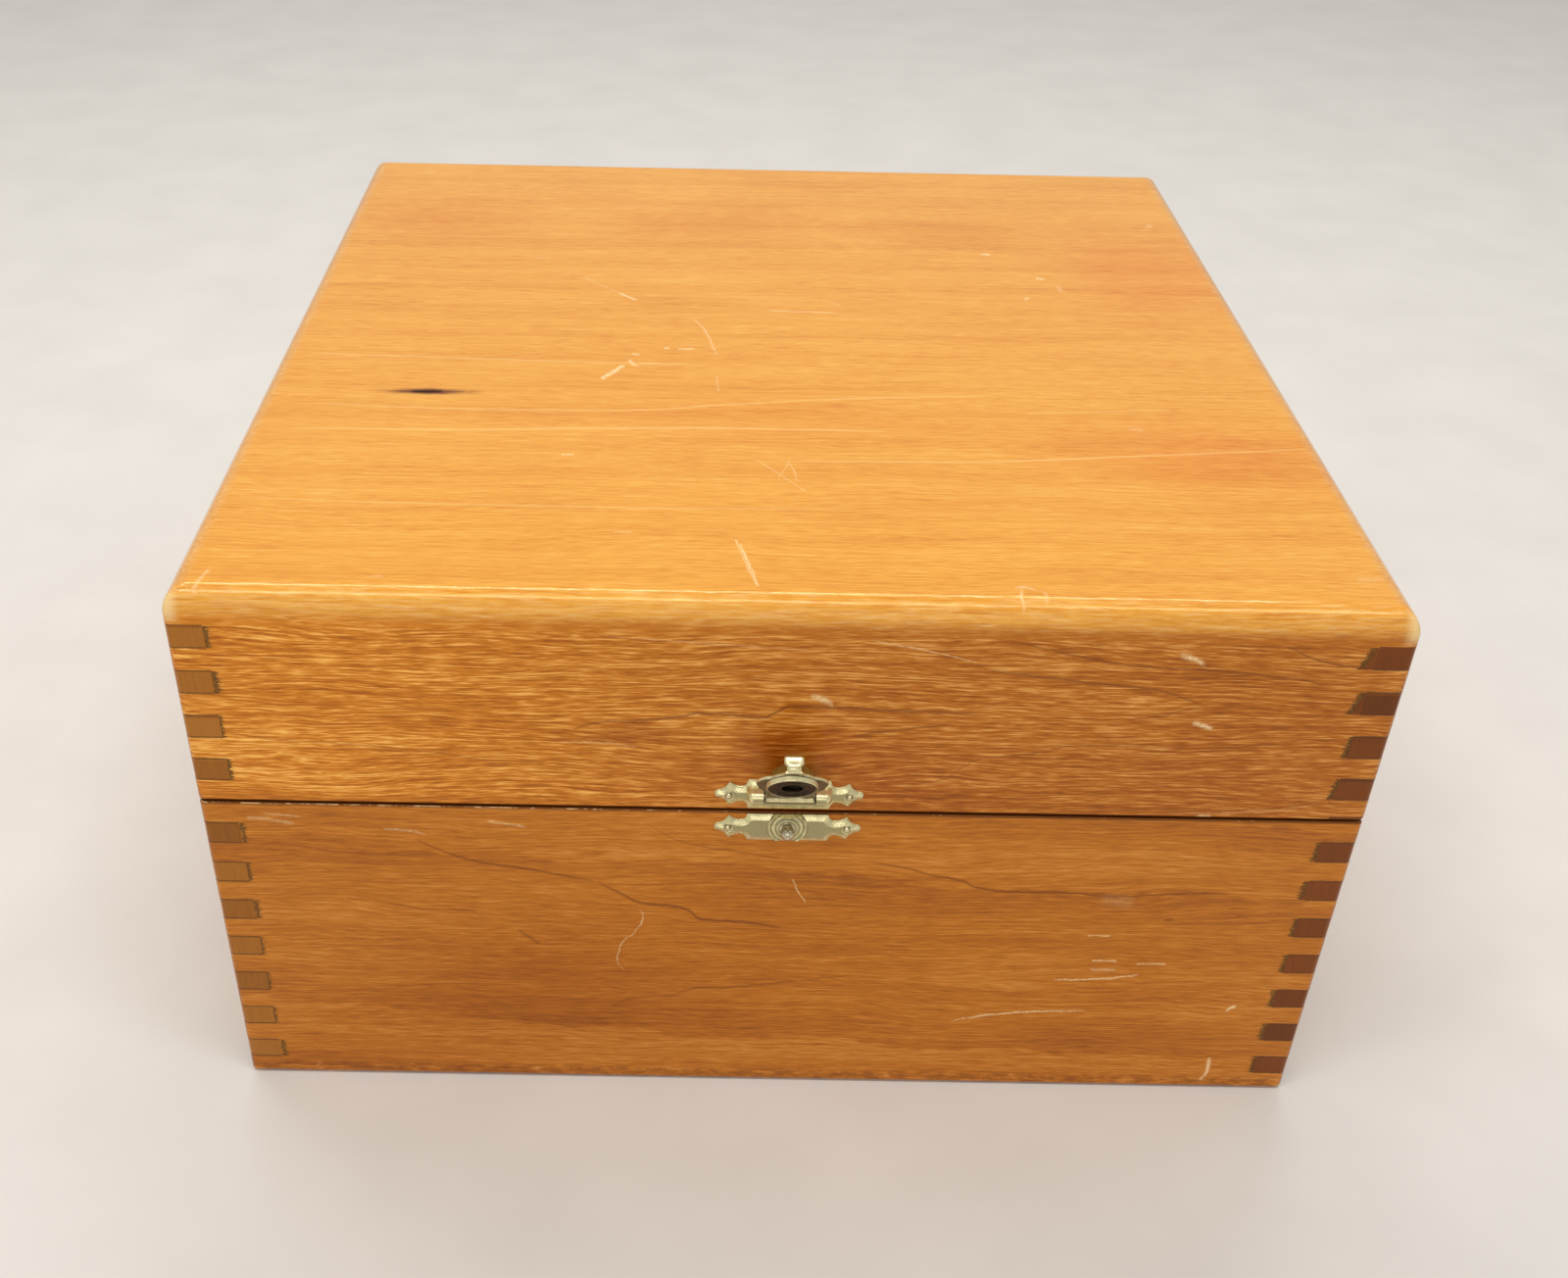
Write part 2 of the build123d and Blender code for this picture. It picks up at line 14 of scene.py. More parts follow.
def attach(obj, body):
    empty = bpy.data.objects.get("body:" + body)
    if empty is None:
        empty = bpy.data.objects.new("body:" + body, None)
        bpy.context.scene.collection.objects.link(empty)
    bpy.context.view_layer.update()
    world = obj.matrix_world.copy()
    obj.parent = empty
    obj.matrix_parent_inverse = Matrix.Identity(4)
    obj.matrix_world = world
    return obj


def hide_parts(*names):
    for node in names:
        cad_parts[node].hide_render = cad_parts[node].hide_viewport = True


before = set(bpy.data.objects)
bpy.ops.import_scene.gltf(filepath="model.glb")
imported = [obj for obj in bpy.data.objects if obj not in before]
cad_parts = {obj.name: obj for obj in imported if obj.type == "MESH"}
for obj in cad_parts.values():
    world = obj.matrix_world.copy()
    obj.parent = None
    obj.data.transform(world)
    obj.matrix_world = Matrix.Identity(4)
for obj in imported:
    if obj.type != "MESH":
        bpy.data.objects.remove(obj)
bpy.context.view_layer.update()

MM = 0.001

# Sizes of the box, as in the CAD
HALF_W = 149.0
HALF_D = 158.5
WALL = 9.3
FINGER = 6.6
BASE_TOP = 99.0
LID_BOTTOM = 99.8
LID_WALL_TOP = 152.6

# Latch
LATCH_X = 1.5
LOWER_PLATE_Z = 94.55
UPPER_PLATE_Z = 105.25
HASP_OUT = 3.4
HASP_Z = 106.5
STUD_Z = 94.85
HASP_OPEN = 147.5
SOCKET_REACH = HASP_Z - STUD_Z
SHEET_IN = -0.6
CUP_FACE = -2.05
NAIL_X = 15.3
UPPER_NAIL_Z = UPPER_PLATE_Z - 0.3
BOSS_R = 5.0
POD_START = 6.42
BARREL_HALF = 6.15


def srgb(red, green, blue):
    """Linear colour of an 8-bit display colour."""
    def linear(level):
        level /= 255
        return level / 12.92 if level <= 0.04045 else ((level + 0.055) / 1.055) ** 2.4
    return (linear(red), linear(green), linear(blue), 1.0)


# Shader building

def operator(kind, swapped=False):
    """Python operator that makes a math node of this kind."""
    def apply(self, other):
        first, second = (other, self) if swapped else (self, other)
        return self.finish.math(kind, first, second)
    return apply


class Value:
    """Output of a shader node. Arithmetic and comparison with it make math nodes."""

    __add__ = operator("ADD")
    __radd__ = operator("ADD", swapped=True)
    __sub__ = operator("SUBTRACT")
    __rsub__ = operator("SUBTRACT", swapped=True)
    __mul__ = operator("MULTIPLY")
    __truediv__ = operator("DIVIDE")
    __lt__ = operator("LESS_THAN")
    __gt__ = operator("GREATER_THAN")

    def __init__(self, finish, socket):
        self.finish = finish
        self.socket = socket

    def __abs__(self):
        return self.finish.math("ABSOLUTE", self)


class Finish:
    """One material, with short calls for its nodes. place is the position in the part's frame,
    in millimetres, and x, y and z are its coordinates."""

    def __init__(self, name):
        self.material = bpy.data.materials.new(name)
        self.material.use_nodes = True
        self.tree = self.material.node_tree
        coords = self.make("ShaderNodeTexCoord", {})
        self.normal = Value(self, coords.outputs["Normal"])
        self.place = self.vector_math("SCALE", Value(self, coords.outputs["Object"]), scale=1 / MM)
        self.x, self.y, self.z = self.split(self.place)

    def feed(self, socket, value):
        """Link a node's output to a socket, or set a number or colour there."""
        if isinstance(value, Value):
            self.tree.links.new(value.socket, socket)
        else:
            socket.default_value = value

    def make(self, kind, sockets, **settings):
        """A new node. sockets are the values of its inputs, and settings its own properties."""
        made = self.tree.nodes.new(kind)
        for key, value in settings.items():
            setattr(made, key, value)
        for key, value in sockets.items():
            if value is not None:
                self.feed(made.inputs[key], value)
        return made

    def node(self, kind, sockets, output=0, **settings):
        """The given output of a new node."""
        return Value(self, self.make(kind, sockets, **settings).outputs[output])

    def math(self, kind, *inputs):
        return self.node("ShaderNodeMath", dict(enumerate(inputs)), operation=kind)

    def vector_math(self, kind, a, b=None, scale=None):
        output = "Value" if kind in ("LENGTH", "DOT_PRODUCT", "DISTANCE") else "Vector"
        return self.node("ShaderNodeVectorMath", {0: a, 1: b, "Scale": scale}, output, operation=kind)

    def split(self, vector):
        made = self.make("ShaderNodeSeparateXYZ", {0: vector})
        return [Value(self, socket) for socket in made.outputs]

    def stretched(self, x, y, z):
        """The place with each axis multiplied by a number."""
        return self.vector_math("MULTIPLY", self.place, (x, y, z))

    def join(self, x, y, z):
        return self.node("ShaderNodeCombineXYZ", {0: x, 1: y, 2: z})

    def noise(self, vector, scale=1.0, detail=2.0, rough=0.5, warp=0.0):
        return self.node("ShaderNodeTexNoise", {"Vector": vector, "Scale": scale, "Detail": detail,
                                                "Roughness": rough, "Distortion": warp}, "Fac")

    def chance(self, vector):
        return self.node("ShaderNodeTexWhiteNoise", {"Vector": vector}, "Value")

    def remap(self, value, low, high, to_low=0.0, to_high=1.0, course="LINEAR"):
        return self.node("ShaderNodeMapRange", {"Value": value, "From Min": low, "From Max": high,
                                                "To Min": to_low, "To Max": to_high},
                         interpolation_type=course)

    def between(self, value, low, high):
        """0 below low, 1 above high, smooth between; low may be the larger one."""
        return self.remap(value, low, high, course="SMOOTHSTEP")

    def mix(self, factor, a, b, blend="MIX"):
        return self.node("ShaderNodeMix", {0: factor, 6: a, 7: b}, 2, data_type="RGBA",
                         blend_type=blend)

    def ramp(self, value, places, colours):
        made = self.make("ShaderNodeValToRGB", {0: value})
        elements = made.color_ramp.elements
        while len(elements) < len(places):
            elements.new(0.5)
        for element, place, colour in zip(elements, places, colours):
            element.position = place
            element.color = colour
        return Value(self, made.outputs[0])

    def curve(self, value, points):
        """Smooth function given by its points, both from 0 to 1."""
        made = self.make("ShaderNodeFloatCurve", {"Value": value})
        line = made.mapping.curves[0]
        for x, y in points[1:-1]:
            line.points.new(x, y)
        for point, (x, y) in zip(line.points, points):
            point.location = (x, y)
            point.handle_type = "AUTO_CLAMPED"
        made.mapping.update()
        return Value(self, made.outputs[0])

    def most(self, *values):
        total = values[0]
        for value in values[1:]:
            total = self.math("MAXIMUM", total, value)
        return total

    def strokes(self, flat, lines):
        """Mask of drawn lines. flat is the position on the board; a line is its width, its
        strength and its points, all in millimetres."""
        u, v, _ = self.split(flat)
        masks = []
        for width, strength, points in lines:
            curved = len(points) > 2
            gap, taper = self.from_curve(u, v, points) if curved else self.from_segment(flat, *points)
            body = self.remap(gap, 0.0, width, strength, 0.0, "SMOOTHSTEP")
            masks.append(body * taper if curved else body)
        return self.most(*masks)

    def from_segment(self, flat, start, end):
        """Distance from a straight stroke, which has no taper."""
        run_u, run_v = end[0] - start[0], end[1] - start[1]
        run = (run_u, run_v, 0.0)
        away = self.vector_math("SUBTRACT", flat, (*start, 0.0))
        share = self.remap(self.vector_math("DOT_PRODUCT", away, run), 0.0, run_u ** 2 + run_v ** 2)
        return self.vector_math("DISTANCE", away, self.vector_math("SCALE", run, scale=share)), None

    def from_curve(self, u, v, points):
        """Distance from a smooth stroke, whose points run steadily along one of the board's axes,
        and its taper, which takes up more of a short stroke."""
        spans = [max(p[i] for p in points) - min(p[i] for p in points) for i in (0, 1)]
        lead = 0 if spans[0] > spans[1] else 1
        run, rise = (u, v) if lead == 0 else (v, u)
        ordered = sorted(points, key=lambda p: p[lead])
        first, last = ordered[0][lead], ordered[-1][lead]
        low = min(p[1 - lead] for p in points)
        high = max(p[1 - lead] for p in points)
        share = self.remap(run, first, last)
        course = self.curve(share, [((p[lead] - first) / (last - first), (p[1 - lead] - low) / (high - low))
                                    for p in ordered])
        end = 0.08 if last - first > 8.0 else 0.22
        taper = [(0.0, 0.0), (end, 0.75), (0.5, 1.0), (1.0 - end, 0.75), (1.0, 0.0)]
        return abs(rise - (course * (high - low) + low)), self.curve(share, taper)

    def bump(self, height, depth_mm):
        return self.node("ShaderNodeBump", {"Height": height, "Distance": depth_mm * MM, "Strength": 1.0})

    def use(self, **sockets):
        """Feed the shader's sockets, and return the finished material."""
        shader = self.tree.nodes["Principled BSDF"]
        for key, value in sockets.items():
            self.feed(shader.inputs[key.replace("_", " ")], value)
        return self.material


# Wood

LACQUER = srgb(255, 226, 176)
BUMP_MM = 0.018

# Dark, middle and light tone of each kind of board
FRONT_TONES = (srgb(152, 78, 18), srgb(196, 116, 28), srgb(228, 156, 74))
LID_TONES = (srgb(146, 72, 12), srgb(188, 108, 24), srgb(232, 166, 86))
TOP_TONES = (srgb(202, 120, 34), srgb(231, 161, 64), srgb(244, 193, 96))
SIDE_TONES = (srgb(146, 72, 12), srgb(200, 122, 34), srgb(236, 172, 80))
INNER_TONES = (srgb(176, 112, 48), srgb(214, 150, 78), srgb(238, 186, 118))
TONE_PLACES = (0.0, 0.5, 1.0)
# Painted light from the upper left on the lid's front, partly the wood's own tone
LEFT_PAINTED_LIGHT = (1.38, 1.52, 1.4, 1.0)

# Cut fibre ends, which are darker at the right-hand corner, partly as painted shade, and the filler round
# them
CUT_PLACES = (0.1, 0.5, 0.95)
LEFT_CUT = (srgb(128, 70, 12), srgb(166, 101, 28), srgb(184, 120, 44))
RIGHT_CUT = (srgb(84, 32, 0), srgb(116, 51, 3), srgb(140, 72, 12))
FILLER_PLACES = (0.35, 0.56, 0.67, 0.74)
FILLER = (srgb(50, 30, 4), srgb(96, 62, 14), srgb(142, 104, 48), srgb(214, 190, 146))


class Board(Finish):
    """Lacquered board. Its marks are laid over its grain one after another."""

    def __init__(self, name, grain, tones, figure, polish, seed):
        """grain names the axes along the grain, across it and through the board. figure is the
        middle of the oval growth pattern, its length to width, its tilt, the width of a growth
        ring and its contrast. polish is the contrast of the fine fibres, that of the broad
        bands and clouds, and the roughness."""
        super().__init__(name)
        streak, mottle, sheen = polish
        self.seed = seed
        along, across, through = (getattr(self, letter) for letter in grain)
        shifted = along + seed
        middle_u, middle_v, aspect, tilt, ring, contrast = figure

        # The grain sways by up to 4.5 mm to each side
        drift = self.noise(self.join(shifted * 0.012, across * 0.05, through * 0.05))
        level = across + (drift * 9.0 - 4.5)
        offset_u = along - middle_u
        offset_v = level - middle_v - offset_u * tilt
        oval = self.vector_math("LENGTH", self.join(offset_u / aspect, offset_v, through * 0.7))
        wobble = self.noise(self.join(shifted * 0.05, across * 0.3, seed), detail=3.0)
        phase = self.math("FRACT", (wobble * 3.0 + oval) / ring)
        late = self.between(phase, 0.45, 0.97) * self.between(phase, 1.0, 0.97)

        def fibres(length, width, detail, drag=0.0):
            """Noise drawn out along the grain into streaks of about this length and width in mm."""
            where = self.join(shifted / length, level / width, through / width)
            return self.noise(where, detail=detail, rough=0.6, warp=drag)

        self.flecks = fibres(6.8, 0.5, 2.0, 0.22)
        threads = fibres(32.0, 0.7, 3.0)
        pores = fibres(7.0, 0.24, 1.0)
        bands = fibres(120.0, 6.0, 2.0)
        clouds = self.noise(self.join(shifted * 0.016, across * 0.035, seed), detail=3.0)
        tone = 0.5
        for layer, weight in ((self.flecks, 0.9 * streak), (threads, 0.7 * streak),
                              (bands, 0.5 * mottle), (clouds, 0.6 * mottle)):
            tone = (layer - 0.5) * weight + tone
        tone = tone - late * contrast - self.between(pores, 0.62, 0.75) * (0.16 * streak)

        self.colour = self.ramp(tone, TONE_PLACES, tones)
        self.roughness = self.flecks * 0.1 + (sheen - 0.05)
        self.height = self.flecks + pores * 0.4
        facing = abs(self.split(self.normal)["xyz".index(grain[0])])
        self.paint_end_grain(self.between(facing, 0.6, 0.85) * (0.4 if tones is TOP_TONES else 1.0))

    def paint_end_grain(self, end_grain):
        """Cut fibre ends: darker, finely pitted, with faint saw lines."""
        pits = self.noise(self.place, scale=2.6, detail=3.0, rough=0.7)
        saw = self.noise(self.stretched(1.4, 1.4, 0.12))
        finger = self.math("FLOOR", self.z / FINGER)
        own = self.chance(self.join(finger, self.math("SIGN", self.x), self.seed))
        shade = pits * 0.7 + saw * 0.35 + own * 0.4 - 0.3
        # Right-hand ends darker, partly their own tone and partly painted shade
        self.cut = self.mix(self.between(self.x, -60.0, 60.0), self.ramp(shade, CUT_PLACES, LEFT_CUT),
                            self.ramp(shade, CUT_PLACES, RIGHT_CUT))
        self.lay(end_grain, self.cut)
        self.height = self.height + end_grain * (pits * 0.8)

    def lay(self, mask, colour, rough=None, blend="MIX"):
        """Lay a colour, and a roughness where given, over the board where the mask says."""
        self.colour = self.mix(mask, self.colour, colour, blend)
        if rough is not None:
            self.roughness = self.mix(mask, self.roughness, (rough, rough, rough, 1.0))

    def lacquered(self):
        return self.use(Base_Color=self.colour, Roughness=self.roughness, Specular_IOR_Level=0.5,
                        Specular_Tint=LACQUER, Normal=self.bump(self.height, BUMP_MM))


def outer_skin(board):
    """1 on the outer faces of the walls, and 0 on their inner faces."""
    return board.between(board.math("MINIMUM", HALF_W - abs(board.x), HALF_D - abs(board.y)), 2.4, 1.6)


def joint_marks(board, edge, edge_half, bottom, top, first, lean=0.3):
    """Dark glue lines round the fingers, and ragged filler past their inner ends. first is 1
    where the odd levels belong to the other board, and 0 where the even ones do. lean is how
    far at most the saw cuts of the right-hand corner slant, in millimetres."""
    inward = edge_half - WALL - abs(edge)
    steps = (board.z - bottom) / FINGER
    index = board.math("FLOOR", steps)
    other = abs(board.math("MODULO", index, 2.0) - (1.0 - first))
    in_walls = (board.between(board.z, bottom + 0.3, bottom + 0.5)
                * board.between(board.z, top - 0.3, top - 0.5))
    thin = board.noise(board.place, scale=1.3, detail=3.0) * 0.5 + 0.02
    from_level = board.math("PINGPONG", steps, 0.5) * FINGER
    across_line = (from_level < thin) * board.between(inward, 0.15, 0.0)
    end_line = (abs(inward) < thin) * other
    board.lay(board.most(across_line, end_line) * in_walls * 0.65, srgb(72, 36, 8))

    chance = board.chance(board.join(index, board.math("SIGN", edge), board.seed))
    ragged = board.noise(board.join(edge * 0.7, board.z * 2.2, board.seed), detail=4.0, rough=0.75)
    slant = 1.0 - board.math("FRACT", steps)
    overcut = board.between(edge, -20.0, 20.0) * slant * (chance * lean + lean * 0.3)
    reach = overcut + chance * 1.2 + ragged * 6.0 - 2.4
    overrun = other * in_walls * outer_skin(board) * (inward > -0.05)
    board.lay(overrun * (inward < reach - 0.55), board.cut)
    specks = board.noise(board.place, scale=2.6, rough=0.6)
    filled = overrun * (inward < reach) * (inward > reach - 1.3)
    board.lay(filled * 0.8, board.ramp(specks, FILLER_PLACES, FILLER), 0.6)


def rim_shade_and_wear(board, edge_z, pale_to_x=-400.0):
    """Worn arris along the opening: a dark line, painted shade of the gap and partly a dirty arris, with
    flaked pale dashes of wear, more of them left of pale_to_x.
    """
    away = abs(board.z - edge_z)
    outer = outer_skin(board)
    # Painted shade of the gap along the opening, partly a dirty arris
    board.lay(outer * board.between(away, 0.65, 0.3) * 0.8, srgb(92, 40, 8), 0.45)
    dashes = board.noise(board.join(board.x * 0.3, board.z * 1.2, board.y * 0.3), detail=5.0, rough=0.75)
    left = board.between(board.x, pale_to_x + 70.0, pale_to_x - 40.0)
    flaked = board.between(dashes + left * 0.14, 0.6, 0.7)
    narrow = board.between(away, 0.34, 0.2) * board.between(away, 0.04, 0.12)
    board.lay(outer * narrow * flaked * 0.9, srgb(236, 196, 140), 0.5)


def foot_wear(board):
    """Knocked and handled strip along the bottom edge."""
    low = board.between(board.z, 6.0, 3.5)
    knocks = board.noise(board.stretched(0.22, 0.22, 0.5), detail=4.0, rough=0.65)
    board.lay(low * board.between(knocks, 0.56, 0.4) * 0.55, srgb(128, 66, 22))
    board.lay(low * board.between(knocks, 0.58, 0.7) * 0.5, srgb(226, 166, 98), 0.5)
    board.height = board.height + low * (knocks * 4.0)


def scratches(board, flat, outer, pale, dark):
    """Pale scratches and chips, and dark open grain lines, drawn on a board's outer face."""
    stir = board.noise(board.place, scale=0.35, detail=3.0)
    moved = board.vector_math("ADD", flat, board.join(stir * 1.6 - 0.8, stir * -1.2 + 0.6, 0.0))
    broken = board.remap(board.noise(board.place, scale=1.1, detail=3.0), 0.3, 0.6, 0.35, 1.0)
    board.lay(outer * board.strokes(moved, dark), board.mix(0.78, board.colour, srgb(112, 50, 16)))
    board.lay(outer * board.strokes(moved, pale) * broken, srgb(250, 218, 164), 0.6)


def stain_and_reflection_patches(board, flat, patches):
    """Soft patches with no outline, of stain or painted reflection, each a middle, two radii, a colour and
    a strength.
    """
    uneven = board.noise(board.place, scale=0.12, detail=3.0) * 0.8 - 0.4
    for (u, v), (radius_u, radius_v), colour, strength in patches:
        away = board.vector_math("SUBTRACT", flat, (u, v, 0.0))
        away = board.vector_math("MULTIPLY", away, (1 / radius_u, 1 / radius_v, 0.0))
        spread = board.vector_math("LENGTH", away) + uneven
        board.lay(board.between(spread, 1.0, 0.1) * strength, srgb(*colour), blend="MULTIPLY")


# Drawn marks, each a width, a strength and its points: on the front as (x, z)
LID_PALE = [
    (1.4, 1.0, [(5.2, 135.4), (8.4, 134.4), (11.1, 132.9)]),
    (0.35, 0.6, [(20.1, 151.4), (32.2, 149.1), (44.9, 145.9)]),
    (0.35, 0.3, [(-45.0, 151.6), (-19.1, 149.9), (4.5, 148.5)]),
    (1.2, 1.0, [(92.8, 149.1), (96.0, 148.2), (99.5, 146.4)]),
    (1.1, 1.0, [(99.2, 129.4), (101.8, 128.8), (104.8, 127.7)]),
    (1.0, 1.0, [(105.5, 100.2), (107.5, 100.4), (109.6, 100.3)]),
    (0.5, 0.3, [(-56.8, 120.3), (-46.6, 120.2), (-36.7, 119.0)]),
    (0.4, 0.18, [(98.0, 101.1), (120.5, 102.0), (137.4, 105.2)]),
]
LID_DARK = [
    (0.75, 0.9, [(-54.3, 123.0), (-46.5, 126.2), (-34.5, 127.4), (-28.1, 128.2), (-18.1, 129.6),
                 (-7.3, 128.8), (-2.6, 130.7), (4.0, 132.3), (15.5, 131.9), (47.0, 131.0)]),
    (0.5, 0.5, [(-56.8, 121.3), (-46.6, 121.3), (-36.7, 120.0)]),
    (0.6, 0.7, [(16.0, 123.7), (29.4, 126.0), (40.2, 127.5)]),
    (0.5, 0.55, [(15.6, 107.8), (36.3, 109.6), (48.6, 117.1), (59.8, 119.0), (78.7, 122.1),
                 (93.8, 121.6), (119.2, 122.6)]),
    (0.5, 0.85, [(117.0, 152.4), (131.3, 147.2), (147.3, 146.3)]),
    (0.5, 0.8, [(51.3, 152.4), (72.6, 147.5), (83.9, 145.7), (98.6, 145.2), (107.7, 144.3),
                (121.9, 142.9), (132.2, 140.6)]),
    (0.6, 0.85, [(45.6, 144.0), (71.6, 140.9), (87.9, 139.1), (95.1, 137.1), (102.2, 134.0)]),
    (0.5, 0.6, [(83.2, 129.9), (92.1, 131.5), (97.3, 133.3), (102.2, 134.2)]),
    (0.5, 0.5, [(97.8, 101.9), (120.5, 102.8), (137.4, 106.0)]),
    (0.45, 0.5, [(-142.4, 122.7), (-126.7, 119.2), (-112.7, 118.6), (-94.3, 117.0), (-86.5, 116.1),
                 (-67.2, 113.8), (-55.4, 115.0)]),
]
BASE_PALE = [
    (0.35, 0.6, [(-37.1, 65.5), (-35.8, 62.7), (-37.9, 57.4), (-41.9, 51.5), (-42.7, 46.7),
                 (-41.0, 42.7)]),
    (0.35, 0.9, [(3.8, 76.8), (5.2, 72.7), (7.8, 68.5)]),
    (0.5, 0.9, [(77.0, 42.0), (88.5, 42.5), (100.6, 44.3)]),
    (0.5, 0.9, [(50.6, 25.2), (57.0, 27.1), (69.4, 29.1), (87.8, 30.4)]),
    (0.45, 0.7, [(84.2, 58.7), (90.0, 58.7)]),
    (0.45, 0.8, [(87.0, 49.4), (93.1, 49.5)]),
    (0.5, 0.7, [(99.4, 48.5), (106.8, 48.7)]),
    (0.9, 0.4, [(87.5, 46.0), (93.3, 46.0)]),
    (0.9, 1.0, [(126.2, 12.6), (126.3, 8.8), (124.9, 3.0)]),
    (0.9, 0.9, [(127.2, 31.6), (129.0, 32.8)]),
    (0.9, 0.42, [(-137.5, 94.2), (-131.0, 93.6), (-125.2, 92.6)]),
    (0.5, 0.4, [(-133.0, 95.6), (-128.0, 95.3), (-123.0, 94.8)]),
    (0.7, 0.42, [(-102.6, 91.3), (-97.0, 91.0), (-91.5, 89.6)]),
    (0.7, 0.4, [(-75.0, 94.6), (-66.0, 92.8)]),
    (3.2, 0.14, [(88.0, 71.4), (93.0, 70.6)]),
]
BASE_DARK = [
    (0.6, 0.9, [(-95.0, 88.2), (-85.5, 83.2), (-77.6, 80.6), (-68.0, 79.0), (-54.4, 76.1),
                (-48.2, 74.9)]),
    (0.75, 1.0, [(-48.2, 74.9), (-44.8, 72.7), (-39.9, 69.6), (-37.1, 67.8), (-27.4, 66.6),
                 (-23.2, 64.9), (-20.3, 62.1), (-9.7, 61.4), (2.2, 59.3)]),
    (0.4, 0.7, [(-107.8, 66.6), (-100.9, 65.3), (-90.5, 63.7), (-83.5, 63.7), (-78.1, 60.7)]),
    (0.8, 0.6, [(-69.1, 56.7), (-64.3, 52.5)]),
    (0.55, 0.7, [(-46.3, 25.9), (-43.3, 29.1), (-38.1, 32.2), (-27.2, 33.5), (-22.1, 36.2),
                 (-12.6, 36.9), (3.1, 39.3), (22.0, 42.5)]),
    (0.6, 0.95, [(23.5, 82.9), (33.9, 81.2), (38.7, 79.3), (48.4, 77.3), (51.8, 75.3), (63.1, 73.7),
                 (75.8, 73.8), (87.9, 72.7), (107.5, 74.1), (120.8, 74.4)]),
    (0.4, 0.6, [(-34.6, 94.7), (-24.4, 88.4), (-9.1, 85.5), (1.2, 83.4)]),
    (0.7, 0.8, [(104.4, 64.6), (105.8, 64.9)]),
]

# On the top, as (x, y)
TOP_PALE = [
    (1.2, 1.0, [(-51.5, -35.8), (-46.0, -27.4)]),
    (1.1, 0.9, [(-44.7, -21.9), (-42.0, -27.0), (-39.2, -28.0)]),
    (1.0, 0.9, [(-43.1, -18.4), (-41.9, -18.8)]),
    (0.5, 0.5, [(-40.8, -25.2), (-35.0, -25.0)]),
    (1.0, 0.8, [(-33.8, -13.6), (-33.0, -13.8)]),
    (0.9, 0.8, [(-29.7, -14.1), (-25.6, -13.9)]),
    (0.6, 0.65, [(-25.6, 9.3), (-21.2, -3.4), (-18.5, -18.2)]),
    (0.5, 0.35, [(-18.2, -33.0), (-18.0, -43.0)]),
    (0.5, 0.35, [(-61.9, 41.6), (-49.7, 28.8)]),
    (1.0, 0.75, [(-49.7, 28.8), (-44.3, 23.4)]),
    (0.7, 0.6, [(-2.5, 16.7), (8.0, 16.3), (19.0, 16.2)]),
    (1.3, 0.9, [(71.8, 69.3), (73.8, 69.3)]),
    (1.5, 0.8, [(87.4, 48.4), (88.8, 47.8)]),
    (1.2, 0.7, [(80.8, 30.4), (81.8, 30.9)]),
    (1.6, 0.35, [(93.0, 41.0), (93.6, 37.5)]),
    (1.6, 0.35, [(134.3, 99.0), (134.8, 101.0)]),
    (0.6, 0.9, [(-59.5, -84.7), (-56.9, -84.6)]),
    (0.5, 0.45, [(-43.3, -126.1), (-39.5, -126.0)]),
    (0.35, 0.45, [(-7.4, -85.6), (4.8, -102.8)]),
    (0.35, 0.45, [(-0.9, -85.9), (1.4, -88.0), (3.2, -98.0)]),
    (0.3, 0.4, [(-1.8, -96.0), (1.4, -85.8)]),
    (0.6, 0.9, [(-12.5, -130.3), (-10.6, -139.0), (-8.2, -151.3)]),
    (0.4, 0.6, [(-13.4, -129.0), (-9.6, -147.0)]),
    (1.8, 0.25, [(97.5, -62.8), (99.5, -62.8)]),
    (1.0, 0.35, [(18.0, 23.5), (20.0, 23.0)]),
    (0.9, 0.3, [(-78.5, 58.0), (-75.0, 58.2)]),
    (0.9, 0.5, [(-141.0, -156.5), (-139.9, -151.1), (-139.0, -147.5)]),
    (0.8, 0.35, [(-101.5, -150.2), (-98.7, -149.4), (-96.8, -151.0)]),
    (0.8, 0.6, [(52.4, -150.4), (54.9, -149.2), (58.6, -150.8)]),
    (0.7, 0.6, [(54.6, -149.5), (54.2, -153.0), (54.3, -157.4)]),
    (0.7, 0.45, [(58.8, -149.6), (60.0, -152.6), (60.2, -155.8)]),
    (2.4, 0.2, [(138.0, -143.0), (142.5, -142.0)]),
]
TOP_DARK = [
    (0.8, 0.6, [(-112.0, -47.3), (-101.5, -47.2), (-90.0, -46.6)]),
]
TOP_LINES = [
    (0.9, 0.4, [(-140.0, -22.0), (-70.0, -24.5), (-20.0, -25.5)]),
    (0.8, 0.4, [(-135.0, -56.0), (-90.0, -58.0), (-45.0, -57.0), (-18.0, -52.5), (25.0, -46.0),
                (60.0, -43.0)]),
    (0.8, 0.5, [(-135.0, -72.0), (-90.0, -71.0), (-50.0, -68.5), (0.0, -67.0), (30.0, -67.0)]),
    (0.8, 0.45, [(0.0, -86.0), (50.0, -84.5), (90.0, -80.0), (145.0, -73.0)]),
    (0.7, 0.3, [(70.0, -54.0), (110.0, -50.0)]),
    (0.8, 0.3, [(-140.0, -112.0), (-60.0, -113.5), (20.0, -112.0)]),
]
